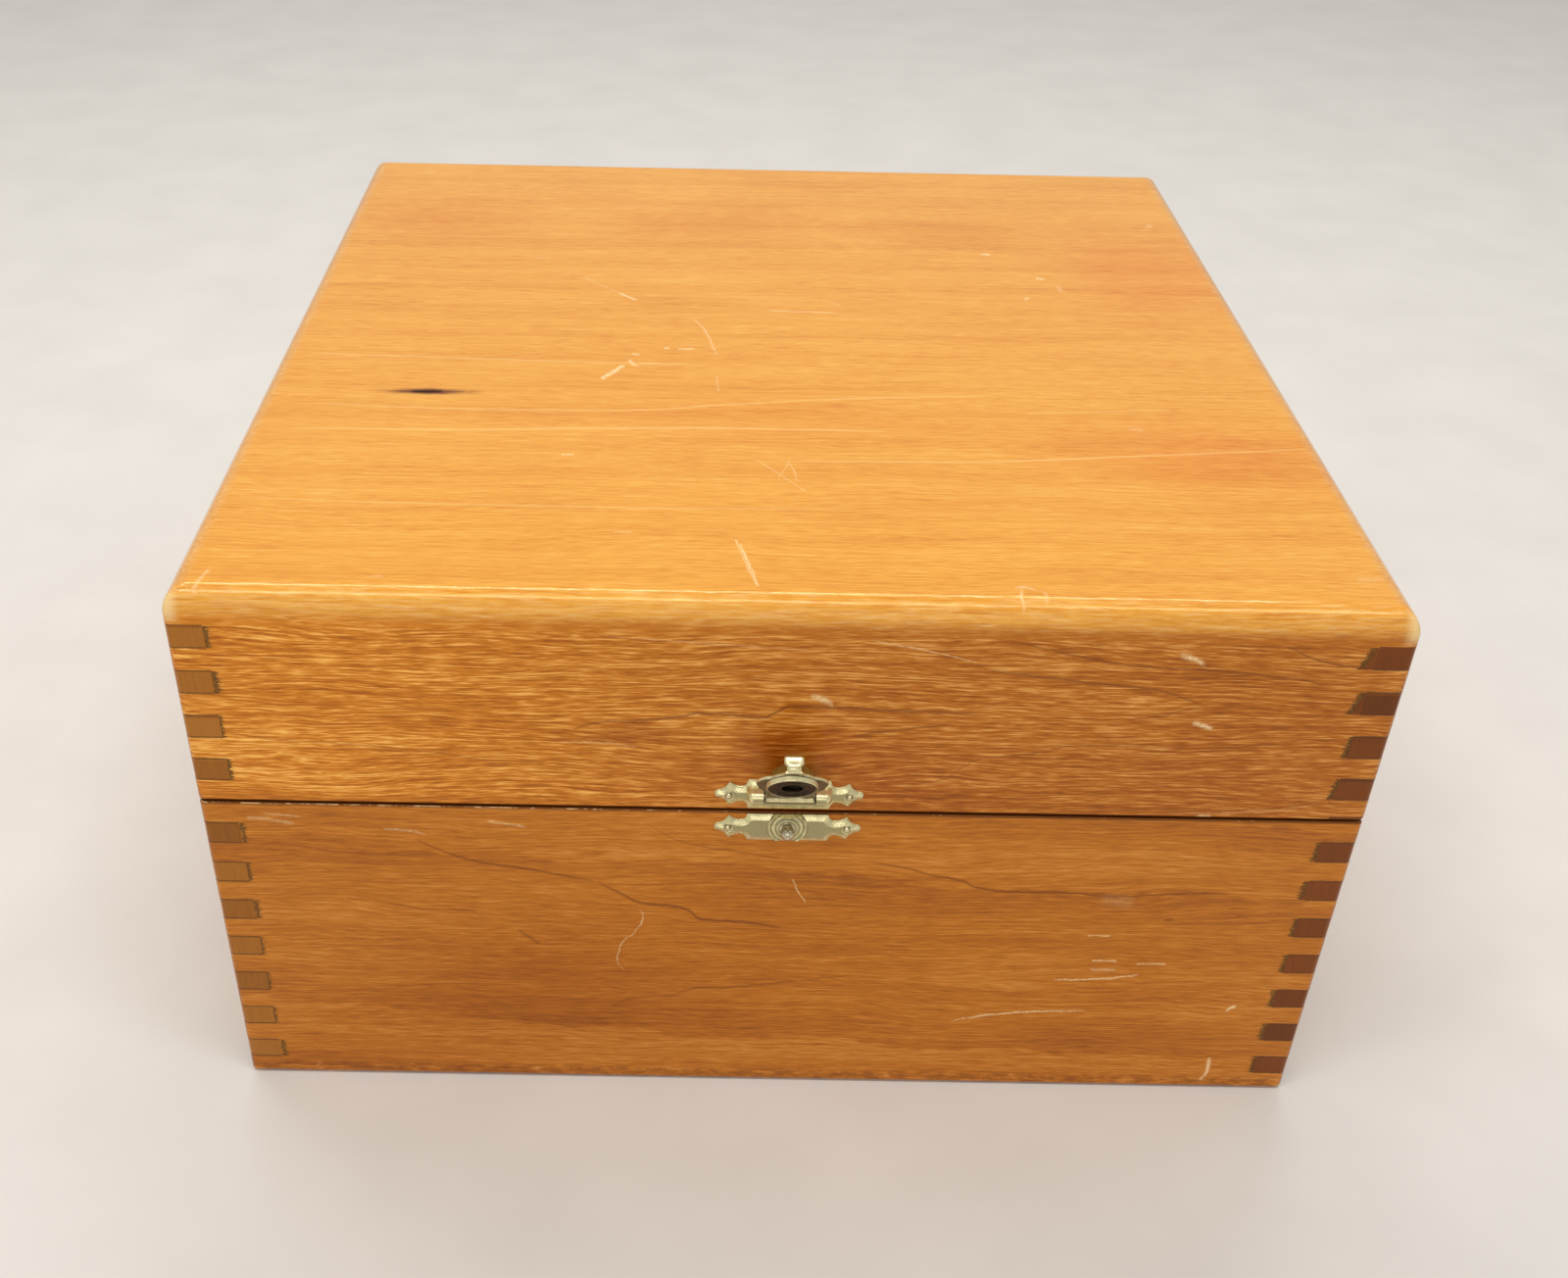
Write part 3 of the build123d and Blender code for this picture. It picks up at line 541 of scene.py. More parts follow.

# Soft patches of stain, and on the lid painted reflection, each a middle, two radii, a colour and a
# strength
LID_STAINS_AND_REFLECTION = [
    # Painted reflection of the hasp leaf in the lacquer above the latch, darker left, yellower right
    ((-1.5, 121.5), (13.0, 9.0), (214, 168, 118), 0.6),
    ((12.0, 119.5), (13.0, 10.0), (255, 226, 150), 0.5),
    # These two darken the lower part of the lid's front
    ((8.0, 109.0), (76.0, 20.0), (236, 218, 204), 0.8),
    ((110.0, 108.0), (60.0, 24.0), (240, 226, 210), 0.6),
    ((-37.0, 123.0), (17.0, 5.0), (200, 172, 144), 0.6),
]
BASE_STAINS = [((-60.0, 36.0), (80.0, 40.0), (236, 226, 214), 0.8)]
TOP_STAINS = [
    ((126.0, 54.0), (48.0, 60.0), (246, 214, 200), 0.6),
    ((112.0, -80.0), (60.0, 34.0), (246, 214, 196), 0.6),
    ((-20.0, -62.0), (110.0, 20.0), (246, 222, 204), 0.4),
    ((-16.0, 92.0), (56.0, 30.0), (244, 218, 184), 0.45),
    ((60.0, 88.0), (44.0, 26.0), (244, 218, 184), 0.45),
    ((-112.0, 96.0), (44.0, 30.0), (242, 214, 180), 0.5),
]
KNOT_STAIN = [((-101.0, -47.1), (19.0, 3.0), (122, 66, 24), 1.0)]
KNOT = [(1.8, 1.0, [(-105.5, -47.3), (-101.5, -47.2), (-96.5, -46.9)])]


def left_painted_light(board, colour):
    """The colour, paler and warmer towards the left, as on the lid's front: painted light, partly own tone.
    """
    return board.mix(board.between(board.x, 50.0, -130.0), colour, LEFT_PAINTED_LIGHT, "MULTIPLY")


def lid_front_details(board):
    flat = board.join(board.x, board.z, 0.0)
    # Painted light from the left, partly the wood's own tone
    board.colour = left_painted_light(board, board.colour)
    stain_and_reflection_patches(board, flat, LID_STAINS_AND_REFLECTION)
    joint_marks(board, board.x, HALF_W, LID_BOTTOM, LID_WALL_TOP, 1, lean=1.7)
    scratches(board, flat, outer_skin(board), LID_PALE, LID_DARK)
    rim_shade_and_wear(board, LID_BOTTOM)


def base_front_details(board):
    flat = board.join(board.x, board.z, 0.0)
    stain_and_reflection_patches(board, flat, BASE_STAINS)
    joint_marks(board, board.x, HALF_W, 0.0, BASE_TOP, 1)
    scratches(board, flat, outer_skin(board), BASE_PALE, BASE_DARK)
    rim_shade_and_wear(board, BASE_TOP, pale_to_x=-40.0)
    foot_wear(board)


def top_details(board):
    """Lower edge toned like the lid's front, marks on the flat, and a rubbed rounding."""
    flat = board.join(board.x, board.y, 0.0)
    stain_and_reflection_patches(board, flat, TOP_STAINS)
    front_tone = board.ramp(board.flecks * 1.2 - 0.1, TONE_PLACES, LID_TONES)
    # The lid's front tones with their painted light from the left, on the top's lower edge
    board.lay(board.between(board.z, LID_WALL_TOP + 5.2, LID_WALL_TOP + 1.4), left_painted_light(board, front_tone))

    upper = board.between(board.z, LID_WALL_TOP + 2.5, LID_WALL_TOP + 3.5)
    board.lay(upper * board.strokes(flat, TOP_LINES), srgb(252, 212, 136))
    scratches(board, flat, upper, TOP_PALE, TOP_DARK)
    stain_and_reflection_patches(board, flat, KNOT_STAIN)
    board.lay(upper * board.strokes(flat, KNOT), srgb(28, 7, 0), 0.95)

    off_x, off_y = abs(board.x), abs(board.y)
    outside = board.most(board.between(off_x, HALF_W - 6.5, HALF_W - 4.0),
                         board.between(off_y, HALF_D - 6.5, HALF_D - 4.0))
    rounded = outside * board.between(board.z, LID_WALL_TOP + 1.0, LID_WALL_TOP + 4.0)
    rubbed = board.noise(board.stretched(0.12, 1.3, 2.4), detail=4.0, rough=0.7)
    board.lay(rounded * board.between(rubbed, 0.46, 0.66) * 0.3, srgb(255, 224, 164))
    corner = (board.between(off_x, HALF_W - 5.0, HALF_W - 1.5)
              * board.between(board.y, -HALF_D + 5.0, -HALF_D + 1.5)
              * board.between(board.z, LID_WALL_TOP - 0.5, LID_WALL_TOP + 3.0))
    board.lay(corner * 0.6, srgb(255, 232, 172))


def wall_details(edge, half, first, in_lid):
    """Details of a wall with no drawn marks. Its fingers lie at the ends of the axis named edge."""
    bottom, top = (LID_BOTTOM, LID_WALL_TOP) if in_lid else (0.0, BASE_TOP)

    def details(board):
        joint_marks(board, getattr(board, edge), half, bottom, top, first)
        rim_shade_and_wear(board, bottom if in_lid else top)
        if not in_lid:
            foot_wear(board)
    return details


def dress(node, material):
    """Give a CAD node its finish."""
    mesh_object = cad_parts[node]
    if not mesh_object.material_slots:
        mesh_object.data.materials.append(material)
    for material_slot in mesh_object.material_slots:
        material_slot.material = material


BASE_BACK, LID_BACK = (wall_details("x", HALF_W, 1, in_lid) for in_lid in (False, True))
BASE_SIDE, LID_SIDE = (wall_details("y", HALF_D, 0, in_lid) for in_lid in (False, True))
PLAIN = (1.0, 1.0, 0.17)
PLAIN_LID = (1.3, 1.0, 0.17)

# Grain axes, tones, growth pattern, streak with mottle and sheen, seed and details of each board
BOARDS = {
    "base_front_wall": ("xzy", FRONT_TONES, (10.0, 48.0, 11.0, -0.06, 9.0, 0.22), (1.25, 0.85, 0.3),
                        11.0, base_front_details),
    "lid_front_wall": ("xzy", LID_TONES, (22.0, 132.0, 11.0, -0.03, 8.0, 0.2), (2.2, 0.8, 0.3),
                       47.0, lid_front_details),
    "top_panel": ("xyz", TOP_TONES, (40.0, 260.0, 8.0, 0.03, 17.0, 0.08), (1.1, 0.5, 0.11),
                  83.0, top_details),
    "base_back_wall": ("xzy", FRONT_TONES, (-30.0, 60.0, 12.0, 0.02, 8.0, 0.2), PLAIN, 205.0, BASE_BACK),
    "lid_back_wall": ("xzy", FRONT_TONES, (60.0, 120.0, 12.0, 0.02, 8.0, 0.2), (1.5, 1.0, 0.17),
                      331.0, LID_BACK),
    "base_left_wall": ("yzx", SIDE_TONES, (20.0, 45.0, 12.0, 0.03, 9.0, 0.2), PLAIN, 433.0, BASE_SIDE),
    "base_right_wall": ("yzx", SIDE_TONES, (-40.0, 60.0, 12.0, -0.02, 9.0, 0.2), PLAIN, 521.0, BASE_SIDE),
    "lid_left_wall": ("yzx", SIDE_TONES, (30.0, 118.0, 12.0, 0.02, 8.0, 0.2), PLAIN_LID, 613.0, LID_SIDE),
    "lid_right_wall": ("yzx", SIDE_TONES, (-20.0, 140.0, 12.0, -0.02, 8.0, 0.2), PLAIN_LID,
                       727.0, LID_SIDE),
    "floor_panel": ("yxz", INNER_TONES, (0.0, 40.0, 14.0, 0.01, 12.0, 0.15), (0.8, 1.0, 0.55), 829.0, None),
    "centre_partition": ("yzx", INNER_TONES, (10.0, 40.0, 12.0, 0.02, 9.0, 0.15), (0.8, 1.0, 0.5),
                         911.0, None),
}

for board_name, (*character, details) in BOARDS.items():
    board = Board(f"{board_name}_wood", *character)
    if details:
        details(board)
    dress(board_name, board.lacquered())


# Metals

# Dark painted into the latch's shaded gaps and hollows
PAINTED_SHADE_DARK = srgb(44, 34, 20)


def metal(name, colour, tarnish, rough, spread=0.5, grime=0.35, painted_shade_facings=(), bump=0.005, solid=1.0, painted_shade_at=None):
    """Plated stamping, clouded and spotted with tarnish. The facings list gives directions, how nearly
    surfaces face them, and the darker colours painted on those surfaces as shade and reflection.
    The last argument returns the mask of the places painted dark as shade."""
    finish = Finish(name)
    cloud = finish.noise(finish.place, scale=0.7, detail=4.0, rough=0.55)
    fine = finish.noise(finish.place, scale=5.0, detail=3.0, rough=0.7)
    spots = finish.between(finish.noise(finish.place, scale=2.0, detail=4.0, rough=0.75), 0.6, 0.72)
    faded = finish.between(cloud, 0.5 - spread / 2, 0.5 + spread / 2)
    base = finish.mix(faded * 0.5, colour, tarnish)
    roughness = faded * 0.1 + rough
    # Painted shade and reflection: surfaces facing each direction take a darker colour
    for way, nearness, painted_shade_colour in painted_shade_facings:
        facing = finish.vector_math("DOT_PRODUCT", finish.normal, way)
        flat = finish.between(facing, nearness - 0.02, nearness)
        mottled = finish.mix(finish.between(fine, 0.4, 0.65) * 0.25, painted_shade_colour, tarnish)
        base = finish.mix(flat, base, mottled)
        roughness = roughness + flat * 0.1
    base = finish.mix(spots * grime, base, tarnish)
    if painted_shade_at:
        # Painted shade where the mask says
        base = finish.mix(painted_shade_at(finish), base, PAINTED_SHADE_DARK)
    return finish.use(Base_Color=base, Metallic=solid, Normal=finish.bump(fine, bump),
                      Roughness=roughness + spots * 0.12)


TILT = radians(HASP_OPEN - 90)
FORWARDS = (0.0, -1.0, 0.0)
UNDER_LEAF = (0.0, -sin(TILT), -cos(TILT))
OVER_LEAF = (0.0, sin(TILT), cos(TILT))
ALONG_LEAF = (0.0, -cos(TILT), sin(TILT))


def plate_painted_shade(finish):
    """Painted shade round the nail heads and in the gaps beside the knuckles, and darker grooves round the
    stud.
    """
    from_middle = abs(finish.x - LATCH_X)
    masks = []
    for nail_z in (UPPER_NAIL_Z, LOWER_PLATE_Z):
        reach = finish.vector_math("LENGTH", finish.join(from_middle - NAIL_X, finish.z - nail_z, 0.0))
        masks.append(finish.between(reach, 1.15, 0.85) * 0.75)
    radius = finish.vector_math("LENGTH", finish.join(finish.x - LATCH_X, finish.z - STUD_Z, 0.0))
    for groove, width, strength in ((BOSS_R + 0.2, 0.22, 0.6), (4.25, 0.3, 0.45), (2.95, 0.35, 0.6)):
        masks.append(finish.between(abs(radius - groove), width, 0.0) * strength)
    masks.append(finish.between(abs(from_middle - POD_START), 0.28, 0.1)
                 * finish.between(finish.y, -HALF_D - 1.4, -HALF_D - 1.8))
    return finish.most(*masks)


def leaf_painted_shade(finish):
    """Painted shade: the dark inside of the cup, the cup's corner and the barrel's ends."""
    from_pin = finish.vector_math("SUBTRACT", finish.place, (LATCH_X, -HALF_D - HASP_OUT, HASP_Z))
    along = finish.vector_math("DOT_PRODUCT", from_pin, ALONG_LEAF)
    out = finish.vector_math("DOT_PRODUCT", from_pin, OVER_LEAF)
    sideways = finish.split(from_pin)[0]
    radius = finish.vector_math("LENGTH", finish.join(sideways, along - SOCKET_REACH, 0.0))
    under = finish.vector_math("DOT_PRODUCT", finish.normal, UNDER_LEAF)
    inside = (finish.between(radius, 5.95, 5.8) * finish.between(under, -0.1, 0.1)
              * finish.between(out, CUP_FACE + 0.2, CUP_FACE + 0.6))
    corner = (finish.between(abs(out - (SHEET_IN - 0.16)), 0.2, 0.05)
              * finish.between(radius, 7.0, 6.8) * finish.between(radius, 5.8, 6.2))
    barrel_end = (finish.between(abs(sideways), BARREL_HALF - 0.22, BARREL_HALF - 0.1)
                  * finish.between(along, 1.9, 1.6))
    return finish.most(inside * 0.95, corner * 0.8, barrel_end)


# Front-facing flats painted darker olive as reflection, with painted shade round nails and knuckles
PLATE_METAL = metal("latch_plate_metal", srgb(240, 230, 178), srgb(164, 152, 102), 0.23, grime=0.25,
                    painted_shade_facings=[(FORWARDS, 0.972, srgb(168, 158, 116))], solid=0.72, painted_shade_at=plate_painted_shade)
STUD_METAL = metal("stud_metal", srgb(214, 206, 176), srgb(120, 108, 80), 0.2)
NAIL_METAL = metal("nail_metal", srgb(232, 220, 178), srgb(120, 106, 66), 0.26)
# Underside painted dark as shade, the dome's outer side painted olive as reflection
LEAF_METAL = metal("hasp_leaf_metal", srgb(242, 232, 182), srgb(150, 132, 76), 0.2, grime=0.3,
                   painted_shade_facings=[(UNDER_LEAF, 0.95, srgb(104, 88, 54)), (OVER_LEAF, 0.3, srgb(150, 130, 66))],
                   solid=0.6, painted_shade_at=leaf_painted_shade)
BRONZE = metal("snap_ring_bronze", srgb(74, 60, 42), srgb(22, 17, 11), 0.24, spread=0.3, bump=0.01,
               solid=0.9)
STEEL = metal("spring_wire_steel", srgb(190, 186, 178), srgb(120, 112, 100), 0.25)
HINGE_METAL = metal("hinge_metal", srgb(214, 188, 116), srgb(140, 108, 56), 0.28, bump=0.01)

for material, node_names in (
    (PLATE_METAL, ["latch_lower_plate", "latch_upper_plate", "hasp_pin"]),
    (NAIL_METAL, ["upper_plate_nails", "lower_plate_nails"]),
    (STUD_METAL, ["snap_stud"]),
    (LEAF_METAL, ["hasp_leaf"]),
    (BRONZE, ["snap_socket"]),
    (STEEL, ["socket_spring"]),
    (HINGE_METAL, [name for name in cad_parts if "hinge" in name]),
):
    for node_name in node_names:
        dress(node_name, material)


# Latch stampings

class Shape:
    """Closed surfaces in millimetres, gathered into one mesh."""

    def __init__(self):
        self.points = []
        self.faces = []

    def skin(self, rings, closed=False):
        """Surface over rings of points. The last ring meets the first one, or both ends are capped."""
        count = len(rings[0])
        start = len(self.points)
        for ring in rings:
            self.points.extend(ring)
        for i in range(len(rings) if closed else len(rings) - 1):
            here = start + i * count
            there = start + (i + 1) % len(rings) * count
            for j in range(count):
                k = (j + 1) % count
                self.faces.append((here + j, here + k, there + k, there + j))
        if not closed:
            self.faces.append(tuple(start + j for j in range(count)))
            self.faces.append(tuple(start + (len(rings) - 1) * count + j for j in range(count)))

    def turned(self, place, profile, turns=56):
        """Solid of revolution. profile runs from one end of the axis to the other, as (radius, height)."""
        angles = [2 * pi * i / turns for i in range(turns)]
        self.skin([[place(radius * cos(angle), radius * sin(angle), height) for angle in angles]
                   for radius, height in profile])

    def turned_ring(self, place, profile, turns=72):
        """Ring of revolution, whose closed section is given as (radius, height)."""
        angles = [2 * pi * i / turns for i in range(turns)]
        self.skin([[place(radius * cos(angle), radius * sin(angle), height) for radius, height in profile]
                   for angle in angles], closed=True)

    def piece(self, name, material, body, slot, *nodes):
        """The finished Blender piece, riding on its body in the CAD node's place."""
        mesh = bpy.data.meshes.new(name)
        mesh.from_pydata([Vector(point) * MM for point in self.points], [], self.faces)
        tidy = bmesh.new()
        tidy.from_mesh(mesh)
        bmesh.ops.recalc_face_normals(tidy, faces=tidy.faces)
        tidy.to_mesh(mesh)
        tidy.free()
        mesh.shade_smooth()
        mesh.set_sharp_from_angle(angle=radians(38))
        mesh.materials.append(material)
        made = bpy.data.objects.new(name, mesh)
        bpy.context.scene.collection.objects.link(made)
        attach(made, body)
        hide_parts(*nodes)


def on_front(x, z, out):
    """Point before the box's front, with x from the latch's middle, in millimetres."""
    return (LATCH_X + x, -HALF_D - out, z)


def smooth_line(points, steps=14):
    """Points along a smooth curve through the points given, both ends kept."""
    padded = [points[0], *points, points[-1]]
    line = []
    for before, start, end, after in zip(padded, padded[1:], padded[2:], padded[3:]):
        for i in range(steps):
            t = i / steps
            line.append(tuple(0.5 * (2 * b + (c - a) * t + (2 * a - 5 * b + 4 * c - d) * t ** 2
                                     + (3 * b - a - 3 * c + d) * t ** 3)
                              for a, b, c, d in zip(before, start, end, after)))
    line.append(points[-1])
    return line


def bell(distance, width):
    """1 at distance 0, fading to 0 over about the width."""
    return 1 / (1 + (distance / width) ** 4)


def eased(value, low, high):
    """0 at low, 1 at high, smooth between; low may be the larger one."""
    t = min(1.0, max(0.0, (value - low) / (high - low)))
    return t * t * (3 - 2 * t)


def lookup(line, at):
    """Second coordinate of a line of points at the first coordinate given."""
    for (x0, y0), (x1, y1) in zip(line, line[1:]):
        if x0 <= at <= x1:
            return y0 + (y1 - y0) * (at - x0) / (x1 - x0 or 1.0)
    return line[-1][1]


# Outline of a plate's ear: hollow waist, horn and small bud, as (x, half height) in millimetres
PANEL_HALF = 10.3
EAR_END = 18.8
WAIST = [(10.9, 2.95), (11.5, 2.5), (12.3, 2.38), (13.4, 2.62), (14.3, 3.08), (15.1, 3.6)]
BUD = [(15.1, 3.6), (15.7, 2.7), (16.3, 1.95), (17.0, 1.5), (17.6, 1.2), (18.15, 1.15), (18.6, 0.85),
       (EAR_END, 0.35)]
PLATE_RIM = 0.35
PLATE_FACE = 1.2
BEVEL_RUN = 1.55
UPPER_HALF = 4.5
LOWER_HALF = 4.2

# Meshing of a plate: spacing along it, strips to each side of its middle, and points of its border
PLATE_STEP = 0.13
PLATE_STRIPS = 30
BORDER_POINTS = 752
LIP = 0.03

# Window that the hasp's barrel turns in, in the upper plate
WINDOW_HALF = 6.3
WINDOW_HIGH = 1.75
WINDOW_MIDDLE = HASP_Z - UPPER_PLATE_Z
WINDOW_FLOOR = 0.1


def ear_line(half_height):
    """Half height of a plate from its middle to the end of its ear, as (x, half height)."""
    waist = smooth_line([(PANEL_HALF, half_height), *WAIST])
    return [(0.0, half_height), *waist, *smooth_line(BUD)[1:]]


def stamped_plate(shape, plate_z, half_height, extra):
    """Sheet with a bevelled border round a raised panel. extra changes its height at a point."""
    edge = ear_line(half_height)
    border = KDTree(2 * BORDER_POINTS)
    for i in range(BORDER_POINTS):
        x = i * EAR_END / (BORDER_POINTS - 1)
        half = lookup(edge, x)
        border.insert((x, half, 0.0), 2 * i)
        border.insert((x, -half, 0.0), 2 * i + 1)
    border.balance()

    count = int(EAR_END / PLATE_STEP)
    stations = [EAR_END * (i / count) for i in range(-count, count + 1)]
    shares = [i / PLATE_STRIPS for i in range(-PLATE_STRIPS, PLATE_STRIPS + 1)]
    for side in (-1, 1):
        for gap in (-LIP, LIP):
            stations.append(side * (WINDOW_HALF + gap))
            shares.append((WINDOW_MIDDLE + side * WINDOW_HIGH + gap) / half_height)
    stations.sort()
    shares.sort()

    def height(x, v):
        gap = border.find((abs(x), v, 0.0))[2]
        if gap < 0.01:
            return PLATE_RIM
        run = min(1.0, gap / BEVEL_RUN)
        level = PLATE_RIM + (PLATE_FACE - PLATE_RIM) * run
        level += 0.07 * bell(gap - 0.15, 0.12) + 0.06 * bell(gap - BEVEL_RUN, 0.13)
        return extra(x, v, gap, level)

    rows = []
    for x in stations:
        half = lookup(edge, abs(x))
        row = [(-half, 0.02), *((share * half, height(x, share * half)) for share in shares), (half, 0.02)]
        rows.append([on_front(x, plate_z + v, out) for v, out in row])
    shape.skin(rows)


def worn_surface(x, v, level):
    """Small dents and waves of thin stamped sheet."""
    waves = 0.025 * sin(2.1 * x + 1.3 * v) * sin(1.7 * v - 0.8 * x)
    return level + waves + 0.015 * sin(7.3 * x) * sin(6.1 * v)


def nail_seat(x, v):
    """Dimple that the nails press into a plate."""
    return 0.16 * bell(hypot(abs(x) - NAIL_X, v) - 0.95, 0.2)


def lower_height(x, v, gap, level):
    """Panel with a ringed boss round the stud."""
    radius = hypot(x, v - (STUD_Z - LOWER_PLATE_Z))
    boss = 1.3 + 0.24 * bell(radius - 4.85, 0.2) - 0.1 * bell(radius - 4.3, 0.25)
    boss += 0.16 * bell(radius - 3.55, 0.16) + 0.3 * eased(radius, 3.3, 2.3)
    boss = PLATE_RIM + (boss - PLATE_RIM) * eased(gap, 0.0, 0.55)
    share = eased(radius, BOSS_R + 0.25, BOSS_R)
    level += (boss - level) * share
    return worn_surface(x, v, level - nail_seat(x, v))


def upper_height(x, v, gap, level):
    """Panel with the window that the hasp's barrel turns in."""
    if abs(x) < WINDOW_HALF and abs(v - WINDOW_MIDDLE) < WINDOW_HIGH:
        return WINDOW_FLOOR
    return worn_surface(x, v, level - nail_seat(x, v + UPPER_PLATE_Z - UPPER_NAIL_Z))


POD_END = 10.9
POD_R = 1.66


def pod(shape, side):
    """Rounded knuckle pressed out of the upper plate, over one end of the hasp pin."""
    rings = []
    steps = 18
    arc = 20
    for i in range(steps + 1):
        t = sin(0.5 * pi * i / steps)
        x = POD_START + (POD_END - POD_START) * t
        full = (1 - max(0.0, (t - 0.45) / 0.55) ** 3.2) ** 0.5
        half = POD_R * (0.34 + 0.66 * full)
        front = 0.9 + (HASP_OUT + POD_R - 0.9) * (0.12 + 0.88 * full)
        bulge = min(half, front - 0.6)
        ring = [(half * 1.12, 0.2), (half * 1.06, 0.9)]
        for k in range(arc + 1):
            ring.append((half * cos(pi * k / arc), front - bulge + bulge * sin(pi * k / arc) ** 0.85))
        ring += [(-half * 1.06, 0.9), (-half * 1.12, 0.2)]
        rings.append([on_front(side * x, HASP_Z + v, out) for v, out in ring])
    shape.skin(rings)


def nail_heads(z, name, body, node):
    """Round heads of the two escutcheon pins of one plate, on their shanks."""
    shape = Shape()
    for side in (-1, 1):
        def place(u, v, out, side=side):
            return on_front(side * NAIL_X + u, z + v, out)
        head = [(0.03, 0.62), (0.25, 0.6), (0.5, 0.5), (0.7, 0.32), (0.8, 0.1), (0.76, 0.0), (0.5, -0.02)]
        profile = [(radius, PLATE_FACE - 0.12 + rise) for radius, rise in head]
        shape.turned(place, [*profile, (0.5, -5.5), (0.03, -6.2)], 28)
    shape.piece(name, NAIL_METAL, body, "nail_brass", node)


def ball_stud():
    """Turned stud: collar, waist, ball and the nub left by the lathe's centre."""
    shape = Shape()
    ball_out, ball_r = 3.2, 1.9
    neck, turn = radians(41), radians(6.2)
    ball = [(ball_r * sin(neck + turn * i), ball_out - ball_r * cos(neck + turn * i)) for i in range(20)]
    profile = [(0.03, 5.6), (0.3, 5.58), (0.52, 5.42), (0.6, 5.2), (0.54, 5.05)]
    profile += reversed(ball)
    profile += [(1.24, 1.72), (1.4, 1.66), (1.95, 1.66), (2.15, 1.56), (2.25, 1.4), (2.25, 1.22),
                (1.1, 1.2), (1.1, -2.8), (0.03, -3.0)]
    shape.turned(lambda u, v, out: on_front(u, STUD_Z + v, out), profile, 64)
    shape.piece("snap_ball_stud", STUD_METAL, "base", "stud_brass", "snap_stud")


# Hasp leaf, flipped up: x across it, along it from the pin, and out of it away from the viewer
SHEET_OUT = 0.1
CUP_R = 6.35
SOCKET_R = 5.85
DOME_RISE = 4.5
DOME_SHEET = 0.6
BARREL_R = 1.45
BORE_R = 0.8


def on_leaf(x, along, out):
    """Point of the leaf in the part's frame, in millimetres."""
    y = -HALF_D - HASP_OUT - along * cos(TILT) + out * sin(TILT)
    return (LATCH_X + x, y, HASP_Z + along * sin(TILT) + out * cos(TILT))


def on_socket(u, v, out):
    return on_leaf(u, SOCKET_REACH + v, out)


def leaf_radius():
    """Distance from the socket's middle to the leaf's edge, as (angle, distance), once round."""
    wing = smooth_line([(6.1, 0.3), (6.1, 3.0), (6.1, 4.9), (6.5, 6.5), (7.5, 7.6), (8.3, 8.3)])
    wing += smooth_line([(8.3, 8.3), (8.25, 9.3), (8.6, 10.5), (8.9, 12.2), (8.3, 13.9), (7.2, 15.0),
                         (5.7, 15.7), (4.3, 16.3), (3.4, 17.1), (2.5, 18.3), (1.95, 19.2)])
    other_wing = [(-x, along) for x, along in reversed(wing)]
    lower_edge = [(6.1 * (i / 20 - 1), 0.3) for i in range(41)]
    outline = []
    for x, along in wing + other_wing + lower_edge:
        angle = atan2(along - SOCKET_REACH, x)
        outline.append((angle, max(hypot(x, along - SOCKET_REACH), CUP_R + 0.35)))
    outline.sort()
    first, last = outline[0], outline[-1]
    return [(last[0] - 2 * pi, last[1]), *outline, (first[0] + 2 * pi, first[1])]


def leaf_sheet(shape):
    """Winged sheet round the cup, with soft edges and a pressed border."""
    outline = leaf_radius()
    thick = SHEET_OUT - SHEET_IN
    turns = 300
    rings = []
    for i in range(turns):
        angle = 2 * pi * i / turns - pi
        edge = lookup(outline, angle)
        start = CUP_R - 0.25
        span = edge - 0.3 - start
        ring = []
        for k in range(9):
            radius = start + span * k / 8
            rise = 0.12 * eased(edge - radius, 0.9, 0.3) if span > 0.6 else 0.0
            dents = 0.06 * sin(3.1 * radius + 9.0 * angle) * eased(edge - radius, 0.3, 0.8)
            ring.append((radius, SHEET_IN - rise + dents * (span > 0.8)))
        ring += [(edge - 0.12, SHEET_IN - 0.1), (edge - 0.02, SHEET_IN), (edge, SHEET_IN + 0.12),
                 (edge, SHEET_IN + thick / 2), (edge, SHEET_OUT - 0.14), (edge - 0.06, SHEET_OUT - 0.04),
                 (edge - 0.3, SHEET_OUT)]
        ring.append((start, SHEET_OUT))
        rings.append([on_socket(radius * cos(angle), radius * sin(angle), out) for radius, out in ring])
    shape.skin(rings, closed=True)


def snap_cup(shape):
    """Cup that holds the snap ring, with the dome that covers the stud's ball."""
    rim_r = CUP_R - 0.05
    ball_r = (rim_r ** 2 + DOME_RISE ** 2) / (2 * DOME_RISE)
    apex = SHEET_OUT + DOME_RISE
    centre = apex - ball_r
    spread = atan2(rim_r, ball_r - DOME_RISE)

    def dome(radius, share):
        return (radius * sin(spread * share), centre + radius * cos(spread * share))

    profile = [(0.04, apex), *(dome(ball_r, i / 16) for i in range(1, 17))]
    profile += [(CUP_R + 0.25, SHEET_OUT - 0.1), (CUP_R + 0.3, SHEET_IN + 0.1)]
    profile += [(CUP_R + 0.22, SHEET_IN - 0.15), (CUP_R + 0.06, SHEET_IN - 0.35)]
    for radius, rise in ((CUP_R + 0.02, 0.35), (CUP_R - 0.05, 0.14), (CUP_R - 0.16, 0.02),
                         (SOCKET_R + 0.2, 0.0), (SOCKET_R + 0.07, 0.06), (SOCKET_R, 0.25)):
        profile.append((radius, CUP_FACE + rise))
    profile.append((SOCKET_R, SHEET_IN + 0.1))
    profile += [dome(ball_r - DOME_SHEET, i / 14) for i in range(13, 0, -1)]
    profile.append((0.04, apex - DOME_SHEET))
    shape.turned(on_socket, profile, 88)


